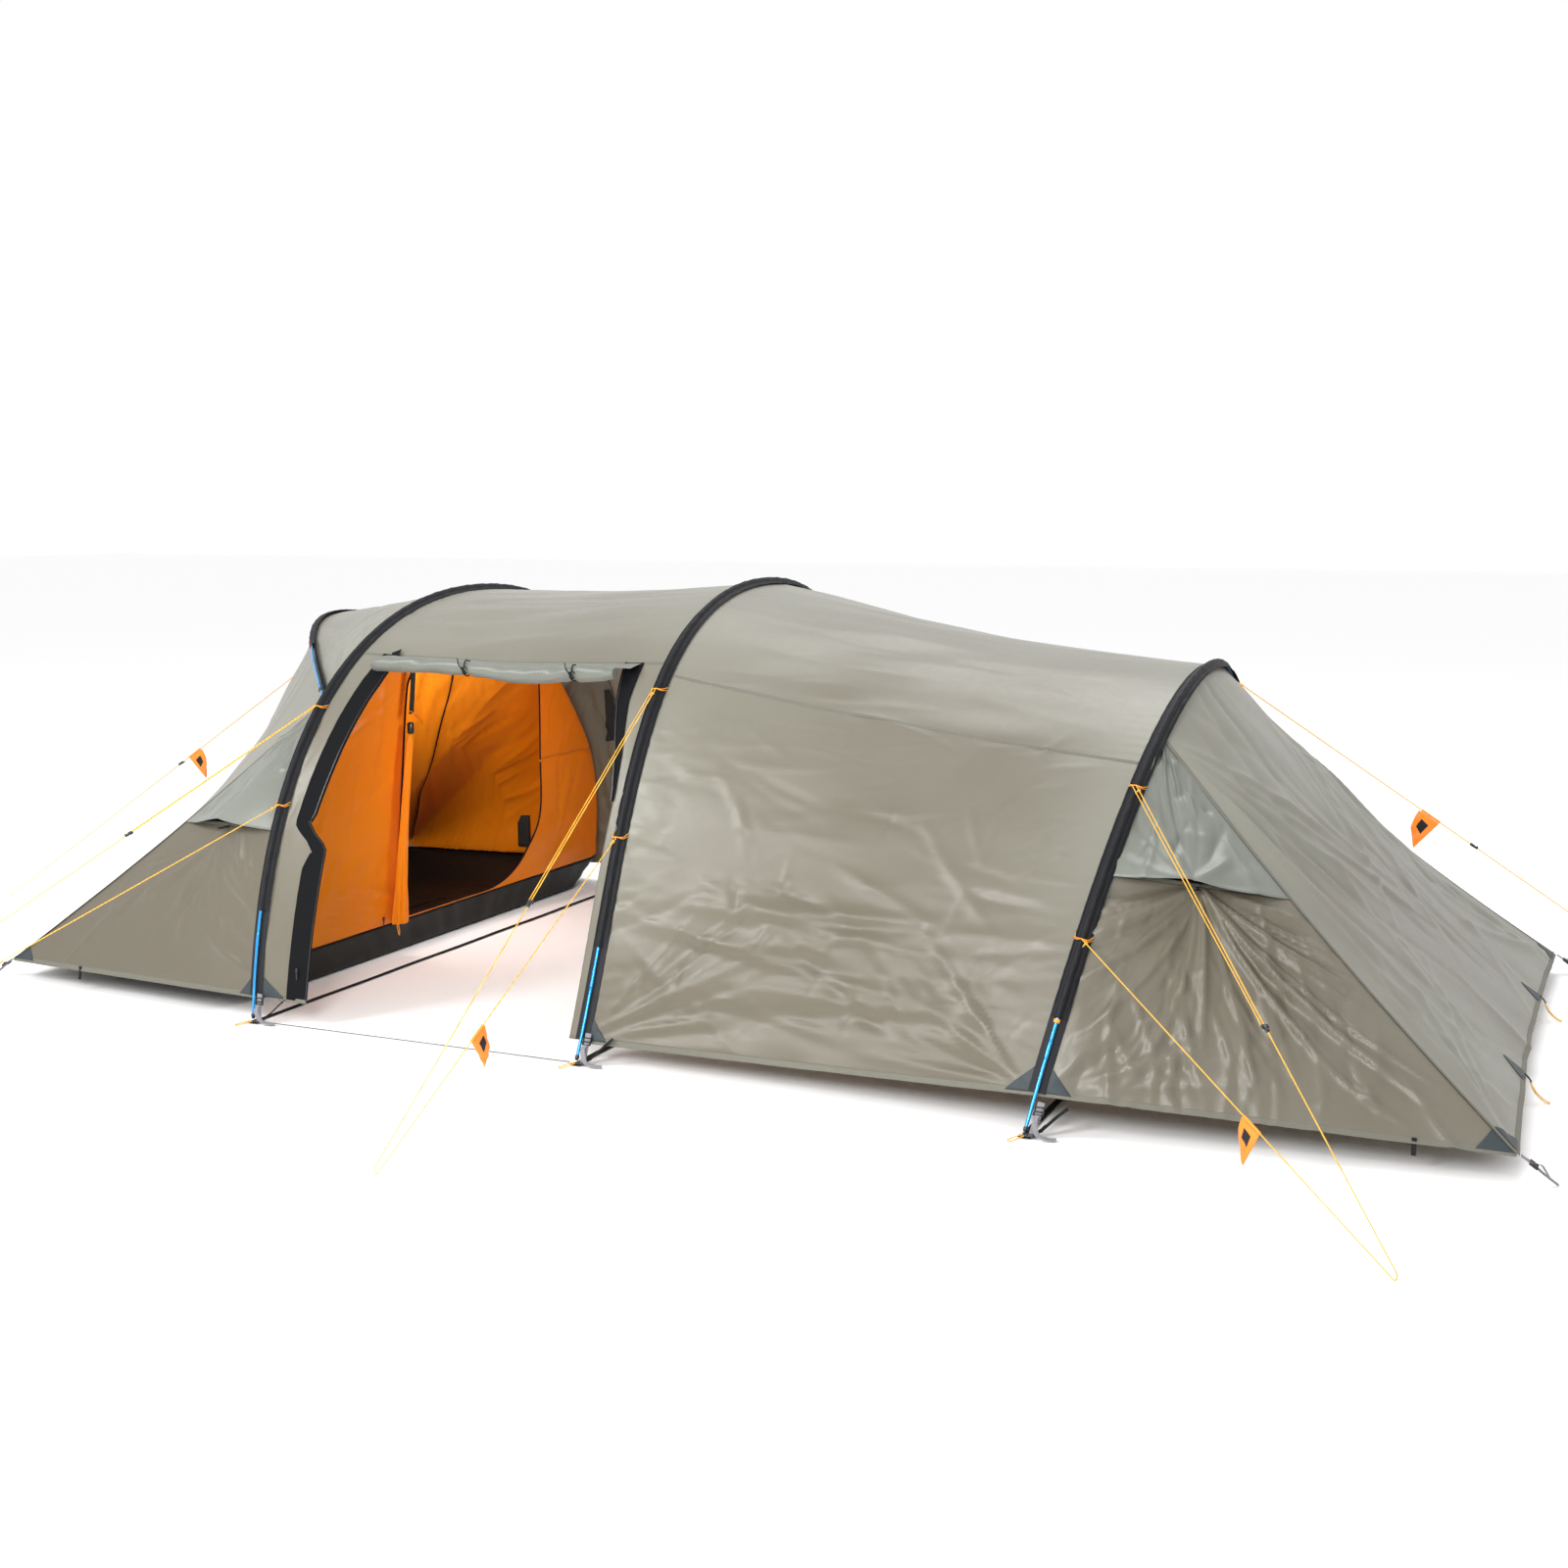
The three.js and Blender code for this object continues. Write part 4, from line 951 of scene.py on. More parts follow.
def grid_seam(name, grid, row=None, column=None, material=FLY, slot="fly_fabric", width=0.013, lift=0.0002):
    n = normals(grid)
    line = grid[row] if column is None else grid[:, column]
    up = n[row] if column is None else n[:, column]
    obj = seam(name, line + up * lift, up, width=width)
    return place(obj, material, "tent", slot)


# seam and hem cloth is given darker colours than the fly cloth: painted shade along the seams and hems
SEAM = woven("seam cloth", srgb(106, 104, 95), srgb(84, 80, 71), 0.6, 0.0016, 0.02, shine=0.15)
grid_seam("seam_main_near", grid, row=counts[0], material=SEAM)
grid_seam("seam_main_far", grid, row=counts[0] + counts[1], material=SEAM)
grid_seam("hem_main_near", grid, row=0, material=SEAM, width=0.022)
grid_seam("hem_main_far", grid, row=-1, material=SEAM, width=0.022)

DOOR = {"foot": 0.200, "kink_width": 0.088, "top_width": 0.143, "kink": 0.662, "kink_run": 0.080,
        "top": 1.420}
# the front jamb keeps narrow beside the hoop up to its middle, then widens to the doorway's upper corner
FRONT_JAMB_AT = (0.10, 0.92, 1.05, 1.25, 1.42)
FRONT_JAMB_WIDTH = (0.056, 0.060, 0.073, 0.117, 0.125)


def mid_bay():
    """The bay with the doorway: its grid lines follow the doorway's edges, which cuts it cleanly."""
    top_u = {"a": A.height(DOOR["top"]), "b": B.height(DOOR["top"])}
    counts = (92, 190)
    rear_u = along_arch(A, (HEM["a"], top_u["a"], 1 - HEM["a"]), counts)
    front_u = along_arch(B, (HEM["b"], top_u["b"], 1 - HEM["b"]), counts)
    span = B.x - A.x
    share = np.clip(np.arange(len(rear_u)) / counts[0], 0, 1)
    height = 0.105 + (DOOR["top"] - 0.105) * share
    past_kink = np.clip((height - DOOR["kink"]) / DOOR["kink_run"] + 0.5, 0, 1)
    to_top = np.clip((height - DOOR["kink"]) / (DOOR["top"] - DOOR["kink"]), 0, 1)
    above = DOOR["kink_width"] + (DOOR["top_width"] - DOOR["kink_width"]) * to_top
    rear_edge = (DOOR["foot"] + (above - DOOR["foot"]) * past_kink) / span
    front_edge = 1 - np.interp(height, FRONT_JAMB_AT, FRONT_JAMB_WIDTH) / span
    parts = (10, 82, 8)
    steps = np.concatenate([np.linspace(0, 1, n, endpoint=False) + i for i, n in enumerate(parts)] + [[3.0]])
    knots = np.stack([np.zeros_like(rear_edge), rear_edge, front_edge, np.ones_like(rear_edge)], 1)
    v = np.stack([np.interp(steps, (0, 1, 2, 3), k) for k in knots])
    grid = bay(A, B, rear_u, front_u, v, np.full(len(rear_u), 0.020))
    a, b = lengths(grid, 0), lengths(grid, 1)
    width = b[:, -1:]
    rng = np.random.default_rng(57)
    top, door = a.max(), float(a[counts[0]].mean())
    rows = scattered(
        rng, 40, (door + 0.05, top * 0.62), (0.1, 1.3), (0.0, 0.2), (0.4, 1.1), (0.015, 0.045),
        (0.0006, 0.0022), 0.1
    )
    rows += scattered(
        rng, 60, (top * 0.6, top - 0.1), (0.1, 1.3), (0.1, 0.3), (0.25, 0.9), (0.012, 0.035),
        (0.001, 0.004), 0.2
    )
    rows += scattered(
        rng, 26, (0.1, door), (0.0, 0.18), (1.35, 0.2), (0.15, 0.5), (0.008, 0.018), (0.001, 0.0035), 0.2
    )
    rows += scattered(
        rng, 16, (0.1, door), (1.34, 1.44), (1.4, 0.2), (0.15, 0.5), (0.008, 0.016), (0.001, 0.003), 0.2
    )
    bumps = creases(a, b, rows) * edge_fade(b, width, 0.03) + ripples(
        a, b, rng, 7, (0.2, 0.5), (0.1, 0.4), 0.006
    ) * np.sin(math.pi * b / width)
    bumps += puckers(a, b, width, rng, 0.0009)
    column = np.arange(grid.shape[1])
    beside = np.minimum(np.abs(column - parts[0]), np.abs(column - parts[0] - parts[1]))
    door_rows = np.arange(grid.shape[0]) <= counts[0]
    bumps = np.where(door_rows[:, None], bumps * np.clip(beside / 8, 0, 1), bumps)
    grid = grid + normals(grid) * bumps[..., None]
    keep = np.ones((grid.shape[0] - 1, grid.shape[1] - 1), bool)
    keep[: counts[0], parts[0]: parts[0] + parts[1]] = False
    # painted light and shade: a little darker across the middle of the bay, painted in for light coming
    # through it, and much darker from the hem up to just above the doorway as painted shade
    painted_shade_and_tone = 0.10 + 0.12 * np.sin(math.pi * b / width) + 0.75 * np.clip(1.1 - a / door, 0, 1) ** 0.5
    return grid, keep, painted_shade_and_tone, counts[0], parts


grid, keep, painted_shade_and_tone, door_row, door_parts = mid_bay()
mid_grid = grid
obj = sheet("fly_mid_cloth", [(grid, keep, painted_shade_and_tone)])
place(obj, FLY, "tent", "fly_fabric", ("fly_mid_roof", "fly_door_jamb_rear", "fly_door_jamb_front"))
rear_jamb = grid[: door_row + 1, door_parts[0]]
front_jamb = grid[: door_row + 1, door_parts[0] + door_parts[1]]
door_top = grid[door_row, door_parts[0]: door_parts[0] + door_parts[1] + 1]
grid_normals = normals(grid)
up = grid_normals[door_row]
place(seam("seam_mid_near", grid[door_row] + up * 0.0003, up), SEAM, "tent", "fly_fabric")
grid_seam("hem_mid_far", grid, row=-1, material=SEAM, width=0.022)

# ---- fly: the two ends --------------------------------------------------------------

FRONT = {"x": 4.620, "half": 1.417, "hem": 0.085, "sag": 0.055, "end": 4.745}
REAR = {"x": -1.405, "half": 1.415, "hem": 0.085, "sag": 0.025, "end": -1.530}


# how far the middle of a hood's lower edge is pushed up by its prop
HOOD_PEAK = 0.042


class End:
    """One tapering end: an arch, the crease down to each corner, and the hem between the corners."""

    def __init__(self, key, spec, arch, aside, top, hem, crease_top, hood_foot, hood_ridge):
        self.key, self.arch, self.aside, self.top, self.hem = key, arch, aside, top, hem
        self.corner = np.array([spec["x"] - ROW_X, -spec["half"], spec["hem"]])
        self.sag, self.crease_top = spec["sag"], crease_top
        self.hood_foot, self.hood_ridge = hood_foot, hood_ridge

    def crease(self, share):
        share = np.asarray(share, float)
        drop = self.sag * np.sin(math.pi * share)
        point = self.crease_top + (self.corner - self.crease_top) * share[..., None]
        return point + np.stack([drop * 0, drop * 0.4, -drop * 0.8], -1)

    def side(self, u, v, arch_span, crease_span, bulge=0.0):
        start = self.arch.at(arch_span[0] + (arch_span[1] - arch_span[0]) * u, -CLOTH_DEPTH, self.aside)
        finish = self.crease(crease_span[0] + (crease_span[1] - crease_span[0]) * u)
        point = start + (finish - start) * v[..., None]
        point[..., 1] -= bulge * np.sin(math.pi * v) * (1 - u) ** 2
        return point

    def hem_line(self, share):
        bow = 0.030 * np.sin(math.pi * share)
        x = self.corner[0] - math.copysign(1, self.corner[0]) * bow
        y = self.corner[1] * (1 - 2 * share)
        return np.stack([x, y, np.full_like(x, self.corner[2])], -1)


front = End(
    "front", FRONT, C, SEAM_GAP, C.height(1.220), HEM["c"], C.at(C.height(1.220), -CLOTH_DEPTH, SEAM_GAP),
    C.height(0.800), 0.40
)
rear = End(
    "rear", REAR, A, -SEAM_GAP, A.height(1.199), HEM["a"], BROW.at(0.0, -CLOTH_DEPTH, 0.0), A.height(0.757),
    0.44
)


def flipped(grid, yes):
    """The same grid with its second axis turned round, so that its faces look outwards."""
    return grid[:, ::-1] if yes else grid


def mirrored(grid):
    """The far side of a near grid, with its faces turned to look outwards again."""
    return (grid * (1, -1, 1))[::-1]


def end_sides(end, rows_lower, rows_hood, rows_far, seed):
    """The near side below its vent, the hood over the vent, and the whole far side."""
    turn = end.key == "rear"
    made = {}
    for name, count, spans, bulge, crease_rows in (
        ("lower", (60, 110), ([end.hem, end.hood_foot], [1.0, end.hood_ridge]), 0.0, rows_lower),
        (
            "hood", (54, 90), ([end.hood_foot - 0.002, end.top], [end.hood_ridge + 0.004, 0.0]), 0.075,
            rows_hood
        ),
        ("far", (96, 96), ([end.hem, end.top], [1.0, 0.0]), 0.0, rows_far),
    ):
        u, v = np.meshgrid(np.linspace(0, 1, count[0]), np.linspace(0, 1, count[1]), indexing="ij")
        grid = end.side(u, v, *spans, bulge)
        flat = grid.copy() if not bulge else end.side(u, v, *spans, 0.0)
        a, b = lengths(grid, 0), lengths(grid, 1)
        rng = np.random.default_rng(seed + len(name))
        bumps = creases(u, v, crease_rows(rng)) + ripples(a, b, rng, 6, (0.2, 0.5), (0.6, 0.6), 0.005)
        fade = np.clip(np.minimum(v, 1 - v) / 0.06, 0, 1) * np.clip((1 - u) / 0.04, 0, 1)
        if name == "hood":
            fade = np.clip(np.minimum(v, 1 - v) / 0.1, 0, 1) * np.clip((1 - u) / 0.1, 0, 1)
        if bulge:
            grid[..., 2] += HOOD_PEAK * (1 - np.abs(2 * v - 1)) ** 1.3 * (1 - u) ** 2
        outward = normals(flipped(grid, turn))
        grid = flipped(grid, turn) + outward * flipped((bumps * fade)[..., None], turn)
        made[name] = (grid, flipped(flat, turn), flipped(u, turn), flipped(v, turn))
    return made


def front_lower(rng):
    rows = fan(rng, 26, 1.0, 0.5, (-2.9, -0.25), (0.7, 1.25), (0.010, 0.026), (0.006, 0.014))
    rows += scattered(
        rng, 30, (0.0, 0.5), (0.1, 0.9), (1.5, 0.2), (0.25, 0.7), (0.008, 0.018), (0.003, 0.008), 0.2
    )
    rows += fan(rng, 8, 0.02, 0.02, (0.3, 1.45), (0.4, 0.9), (0.012, 0.025), (0.003, 0.006))
    rows += scattered(
        rng, 26, (0.02, 0.4), (0.05, 0.8), (1.3, 0.3), (0.2, 0.5), (0.01, 0.025), (0.002, 0.007), 0.3
    )
    rows += scattered(
        rng, 30, (0.1, 0.9), (0.1, 0.9), (1.0, 0.5), (0.2, 0.6), (0.01, 0.02), (0.001, 0.004), 0.3
    )
    return rows


def front_hood(rng):
    rows = fan(rng, 12, 0.0, 0.5, (0.2, 2.9), (0.4, 1.0), (0.02, 0.05), (0.003, 0.008))
    rows += scattered(
        rng, 24, (0.1, 0.9), (0.1, 0.9), (0.8, 0.7), (0.15, 0.5), (0.015, 0.035), (0.002, 0.006), 0.4
    )
    return rows


def far_side(rng):
    return (fan(rng, 12, 0.02, 0.02, (0.2, 1.4), (0.4, 0.9), (0.012, 0.03), (0.003, 0.006))
            + scattered(
                rng, 60, (0.05, 0.95), (0.05, 0.95), (0.6, 0.6), (0.2, 0.6), (0.01, 0.03), (0.0015, 0.005),
                0.3
            ))


def rear_lower(rng):
    return (scattered(rng, 26, (0.1, 0.9), (0.1, 0.9), (1.1, 0.4), (0.2, 0.7),
                      (0.012, 0.03), (0.001, 0.004), 0.3)
            + fan(rng, 9, 0.95, 0.5, (-2.6, -0.5), (0.4, 0.9), (0.015, 0.03), (0.002, 0.005)))


def rear_hood(rng):
    return scattered(
        rng, 18, (0.1, 0.9), (0.1, 0.9), (0.8, 0.6), (0.2, 0.6), (0.02, 0.05), (0.002, 0.005), 0.3
    )


def end_slope(end, arch, span, aside, rows, seed):
    u, v = np.meshgrid(np.linspace(0, 1, 170), np.linspace(0, 1, 110), indexing="ij")
    start = arch.at(span[0] + (span[1] - span[0]) * u, -CLOTH_DEPTH, aside)
    grid = start + (end.hem_line(u) - start) * v[..., None]
    drop = end.sag * np.sin(math.pi * v)
    grid[..., 2] -= drop * 0.8
    grid[..., 1] += drop * 0.4 * (1 - 2 * u)
    turn = end.key == "rear"
    rng = np.random.default_rng(seed)
    a, b = lengths(grid, 0), lengths(grid, 1)
    bumps = creases(u, v, rows(rng)) + ripples(a, b, rng, 8, (0.25, 0.6), (0.8, 0.5), 0.008)
    fade = np.clip(np.minimum(u, 1 - u) / 0.05, 0, 1) * np.clip(v / 0.05, 0, 1)
    outward = normals(flipped(grid, turn))
    return flipped(grid, turn) + outward * flipped(
        (bumps * fade)[..., None], turn
    ), flipped(u, turn), flipped(v, turn)


def front_slope_rows(rng):
    rows = []
    for mirror in (False, True):
        near = fan(rng, 12, 0.0, 0.02, (0.05, 0.8), (0.5, 1.1), (0.010, 0.022), (0.004, 0.010))
        near += fan(rng, 7, 0.0, 1.0, (2.2, 3.0), (0.3, 0.6), (0.010, 0.02), (0.003, 0.007))
        near += scattered(
            rng, 26, (0.05, 0.5), (0.1, 0.95), (0.25, 0.25), (0.2, 0.6), (0.01, 0.022), (0.0015, 0.005), 0.2
        )
        rows += [(1 - r[0], r[1], -r[2], *r[3:6], -r[6]) if mirror else r for r in near]
    return rows


def rear_slope_rows(rng):
    return (scattered(rng, 40, (0.05, 0.95), (0.1, 0.9), (0.0, 0.4), (0.2, 0.7),
                      (0.012, 0.03), (0.0015, 0.004), 0.2)
            + fan(rng, 9, 0.0, 1.0, (2.0, 3.0), (0.3, 0.6), (0.012, 0.02), (0.002, 0.005)))


vents, slopes = {}, {}
for end, arch, span, aside, functions, slope_rows, seed, nodes in (
    (front, C, (front.top, 1 - front.top), SEAM_GAP, (front_lower, front_hood, far_side), front_slope_rows,
     71,
     ("fly_front_slope", "fly_front_side_near", "fly_front_side_far")),
    (rear, BROW, (0.0, 1.0), -SEAM_GAP, (rear_lower, rear_hood, far_side), rear_slope_rows, 93,
     ("fly_rear_slope", "fly_rear_side_near", "fly_rear_side_far")),
):
    sides = end_sides(end, *functions, seed)
    slope, su, sv = end_slope(end, arch, span, aside, slope_rows, seed + 5)
    lower, _, lu, lv = sides["lower"]
    far = mirrored(sides["far"][0])
    # painted shade: the side panels are darker than the slopes, the rear ones most; the near side's lower
    # panel darkens further in its middle just under the hood, and the slope towards the middle of its hem
    painted_side_shade = 0.70 if end.key == "front" else 1.25
    obj = sheet(f"fly_{end.key}_cloth", [
        (lower, None, painted_side_shade + 0.4 * np.sin(math.pi * lv) * lu),
        (slope, None, 0.12 + 0.3 * np.sin(math.pi * su) * sv), (far, None, painted_side_shade),
    ])
    place(obj, FLY, "tent", "fly_fabric", nodes)
    hood, flat, hu, _ = sides["hood"]
    vents[end.key] = (end, hood, flat, lower)
    slopes[end.key], rear_far = slope, far
    hood_obj = sheet(f"vent_hood_{end.key}_cloth", [(hood, None, 0.5 + 0.4 * hu)])
    hood_obj.data.materials.append(HOOD)
    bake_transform(hood_obj)
    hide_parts(f"vent_hood_{end.key}")
    # dark insect mesh closes the gap behind the hood, just inside it
    inside = flat - normals(flat) * 0.012
    mesh_obj = sheet(f"vent_mesh_{end.key}", [(inside[::2, ::2], None, 0.5)], 0.0006)
    place(mesh_obj, MESH, "tent", "black_plastic")
    grid_seam(f"seam_{end.key}_hood_edge", lower, row=-1, material=SEAM, width=0.012)
    grid_seam(f"hem_{end.key}_near", lower, row=0, material=SEAM, width=0.022)
    grid_seam(f"hem_{end.key}_far", far, row=-1, material=SEAM, width=0.022)
    column = -1 if end.key == "front" else 0
    grid_seam(f"hem_{end.key}_slope", slope, column=column, material=SEAM, width=0.022)
    grid_seam(f"seam_{end.key}_ridge_near", slope, row=0, material=SEAM, width=0.016)
    grid_seam(f"seam_{end.key}_ridge_far", slope, row=-1, material=SEAM, width=0.016)


def rear_roof():
    span = rear.top + 0.012
    u, v = np.meshgrid(np.linspace(0, 1, 150), np.linspace(0, 1, 60), indexing="ij")
    start = BROW.at(u, -CLOTH_DEPTH, SEAM_GAP)
    finish = A.at(span + (1 - 2 * span) * u, -CLOTH_DEPTH, -SEAM_GAP)
    grid = start + (finish - start) * v[..., None]
    a, b = lengths(grid, 0), lengths(grid, 1)
    rng = np.random.default_rng(5)
    bumps = creases(
        u, v,
        scattered(
            rng, 40, (0.05, 0.95), (0.1, 0.9), (0.0, 0.5), (0.3, 0.9), (0.01, 0.025), (0.001, 0.003), 0.2
        )
    )
    bumps += ripples(a, b, rng, 6, (0.2, 0.4), (0.2, 0.5), 0.005)
    fade = np.clip(np.minimum(v, 1 - v) / 0.08, 0, 1) * np.clip(np.minimum(u, 1 - u) / 0.03, 0, 1)
    return grid + normals(grid) * (bumps * fade)[..., None]


obj = sheet("fly_rear_roof_cloth", [(rear_roof(), None, 0.12)])
place(obj, FLY, "tent", "fly_fabric", ("fly_rear_roof",))

# ---- vent props ---------------------------------------------------------------------

for key, (end, hood, flat, lower) in vents.items():
    low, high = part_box(f"vent_prop_{key}")
    fixed = rod(f"vent_prop_{key}_bracket", [
        (low.x, high.y + 0.010, high.z - 0.004),
        (low.x + 0.010, high.y + 0.006, high.z - 0.004),
        (high.x, high.y + 0.010, high.z - 0.004),
    ], 0.0022, sides=8)
    place(fixed, PLASTIC, "tent", "black_plastic")
    x, z = (low.x + high.x) / 2, (low.z + high.z) / 2
    pivot, tip = high.y - 0.004, low.y
    axes = ((1, 0, 0), (0, 1, 0), (0, 0, 1))
    parts = [
        block("stay", (x, (pivot + tip) / 2, z), (0.011, pivot - tip, 0.0036), axes, 0.3),
        block("head", (x, tip + 0.006, z), (0.020, 0.010, 0.007), axes, 0.35),
        rod("hinge", [(x - 0.010, pivot, z), (x, pivot, z), (x + 0.010, pivot, z)], 0.0040, sides=16),
    ]
    place(
        joined(f"vent_prop_{key}_stay", parts), PLASTIC, f"prop_{key}", "black_plastic",
        (f"vent_prop_{key}",)
    )

# ---- doorway ------------------------------------------------------------------------


def band(name, line, normal, inner, outer, lift, material, slot, rng_seed=3, thick=0.0016):
    """A flat tape along a line, from inner to outer across it, lying on the cloth."""
    line = np.asarray(line, float)
    along, side, _ = frames(line, normal)
    w = np.linspace(0, 1, 9)
    rng = np.random.default_rng(rng_seed)
    length = np.concatenate([[0], np.cumsum(np.linalg.norm(np.diff(line, axis=0), axis=1))])
    wave = sum(
        rng.uniform(0.3, 1) * np.sin(2 * math.pi * length / rng.uniform(0.07, 0.3) + rng.uniform(0, 6))
        for _ in range(4)
    ) * 0.0011
    across = inner[:, None] + (outer - inner)[:, None] * w
    grid = (line[:, None] + side[:, None] * across[..., None]
            + normal[:, None] * (lift + wave[:, None] * np.sin(math.pi * np.clip(w, 0.1, 1)))[..., None])
    obj = sheet(name, [(grid if inner[0] < 0 else grid[:, ::-1], None, 0.4)], thick)
    return place(obj, material, "tent", slot)


def resampled(line, extra, count):
    """A line and values along it, at evenly spaced places."""
    along = np.concatenate([[0], np.cumsum(np.linalg.norm(np.diff(line, axis=0), axis=1))])
    at = np.linspace(0, along[-1], count)
    pick = lambda values: np.stack([np.interp(at, along, values[:, i]) for i in range(values.shape[1])], 1)
    n = pick(extra)
    return pick(line), n / np.linalg.norm(n, axis=1, keepdims=True)


rear_edge, rear_normal = resampled(rear_jamb, grid_normals[: door_row + 1, door_parts[0]], 120)
front_edge, front_normal = resampled(
    front_jamb, grid_normals[: door_row + 1, door_parts[0] + door_parts[1]], 100
)
for name, line, normal, sign in (
    ("rear", rear_edge, rear_normal, 1), ("front", front_edge, front_normal, -1)
):
    z = line[:, 2]
    if sign > 0:
        inner = np.interp(z, (0.10, 0.60, 0.72, 1.42), (-0.063, -0.060, -0.018, -0.018))
        outer = np.interp(z, (0.10, 0.62, 0.72, 0.82, 1.42), (0.031, 0.030, 0.030, 0.062, 0.074))
    else:
        # the front band ends half way down, where the doorway meets the sleeve
        line, normal = line[z > 0.90], normal[z > 0.90]
        z = line[:, 2]
        inner = np.interp(z, (0.90, 1.42), (0.004, 0.010))
        outer = np.interp(z, FRONT_JAMB_AT, (-0.004, -0.006, -0.022, -0.045, -0.080))
    band(f"door_band_{name}", line, normal, inner, outer, 0.0050, BAND, "sleeve_fabric", rng_seed=11 + sign)
    # the zip's teeth run along the band's outer edge
    side = frames(line, normal)[1]
    teeth = line + side * (outer * 0.86)[:, None] + normal * 0.0072
    place(
        rod(
            f"door_zip_teeth_{name}", teeth, 0.0022 + 0.0006 * (np.arange(len(teeth)) % 2), (0, 1, 0),
            sides=6
        ),
        PLASTIC, "tent", "black_plastic"
    )

grid = mid_grid
top_normal = grid_normals[door_row, door_parts[0]: door_parts[0] + door_parts[1] + 1]


def door_roll():
    """The rolled door: a loose spiral roll with folds, pinched at its two ties."""
    start, end, y, z = 0.205, 1.270, -0.968, 1.372
    ties = (0.40, 0.84)
    x = np.linspace(start - 0.02, end + 0.03, 190)
    share = (x - x[0]) / (x[-1] - x[0])
    turn = np.linspace(0, 2 * math.pi, 44, endpoint=False)
    rng = np.random.default_rng(19)
    size = 0.033 * (0.93 + 0.05 * np.sin(9 * share + 1) + 0.04 * np.sin(23 * share))
    for t in ties:
        size = size * (1 - 0.22 * np.exp(-((share - t) / 0.016) ** 2))
    size = size * np.clip(0.8 + share * 12, 0, 1) * np.clip(0.72 + (1 - share) * 8, 0, 1)
    spiral = np.exp(-(((turn[None] - 5.2 + 0.9 * share[:, None]) % (2 * math.pi)) / 0.5)) * 0.10
    folds = sum(
        rng.uniform(0.3, 1) * np.sin(
            rng.integers(1, 4) * turn[None] + rng.uniform(14, 60) * share[:, None] + rng.uniform(0, 6)
        )
        for _ in range(7)
    )
    radius = size[:, None] * (1 + spiral + 0.032 * folds)
    sag = 0.012 * np.sin(
        math.pi * np.clip((share - ties[0]) / (ties[1] - ties[0]), 0, 1)
    ) + 0.004 * np.sin(3 * share)
    drop = z - sag + 0.004 * np.sin(7 * share)
    rings = np.stack(
        [
            np.broadcast_to((x - ROW_X)[:, None], radius.shape), y + radius * np.cos(turn),
            drop[:, None] + radius * np.sin(turn)
        ],
        -1
    )
    return loft("door_roll_cloth", rings), x, drop, y


roll, roll_x, roll_z, roll_y = door_roll()
roll.data.uv_layers.new(name="cloth")
shades = 0.75 + 0.25 * np.sin(np.arange(len(roll.data.vertices)) * 0.37)
roll.data.attributes.new("painted_shade_and_tone", "FLOAT", "POINT").data.foreach_set("value", shades.astype(np.float32))
place(roll, HOOD, "tent", "hood_fabric", ("door_roll",))

# the door's top edge hangs from the roof seam down behind the roll
count = len(door_top)
top = door_top + top_normal * 0.0008
ends = np.stack(
    [top[:, 0], np.full(count, roll_y + 0.022), np.interp(top[:, 0] + ROW_X, roll_x, roll_z) + 0.018], 1
)
w = np.linspace(0, 1, 12)[:, None, None]
apron = top[None] * (1 - w) + ends[None] * w
apron[..., 1] -= 0.010 * np.sin(math.pi * w[..., 0])
obj = sheet("door_apron", [(apron[::-1], None, 0.8)])
place(obj, HOOD, "tent", "hood_fabric")

for i, share in enumerate((0.245, 0.845)):
    x = roll_x[0] + (roll_x[-1] - roll_x[0]) * (0.40 if i == 0 else 0.84)
    z = float(np.interp(x, roll_x, roll_z))
    c = np.array([x - ROW_X, roll_y, z])
    turn = np.linspace(-0.4, 2 * math.pi - 0.9, 30)
    loop = np.stack(
        [
            np.full(30, c[0]) + 0.004 * np.sin(turn * 3), c[1] + 0.031 * np.cos(turn),
            c[2] + 0.031 * np.sin(turn)
        ],
        1
    )
    strap = rod("strap", loop, 0.0026, (1, 0, 0), sides=8)
    toggle = block(
        "toggle", c + (0.004, -0.034, -0.008), (0.009, 0.010, 0.036),
        ((0.8, 0, 0.6), (0, 1, 0), (-0.6, 0, 0.8)), 0.4
    )
    tails = [
        rod(
            "tail",
            [
                c + (0.002, -0.033, -0.004), c + (s * 0.012, -0.040, 0.012),
                c + (s * 0.022, -0.036, 0.020 - 0.02 * s)
            ],
            0.002, count=10, sides=8
        )
        for s in (-1, 1)
    ]
    place(joined(f"door_tie_{i}", [strap, toggle, *tails]), STRAP, "tent", "base_webbing")

low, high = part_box("door_zip_slider")
c = (np.array(low) + np.array(high)) / 2
top_z = high[2]
axes = ((1, 0, 0), (0, 1, 0), (0, 0, 1))
parts = [
    block("body", (c[0], c[1], top_z - 0.009), (0.012, 0.006, 0.018), axes, 0.35, 0.8),
    block("bridge", (c[0], low[1] + 0.001, top_z - 0.009), (0.004, 0.003, 0.012), axes, 0.3),
    block("tab", (c[0], c[1] - 0.001, top_z - 0.032), (0.007, 0.003, 0.028), axes, 0.4),
]
place(joined("door_zip_pull", parts), PLASTIC, "door_slider", "black_plastic", ("door_zip_slider",))

# ---- inner tent ---------------------------------------------------------------------

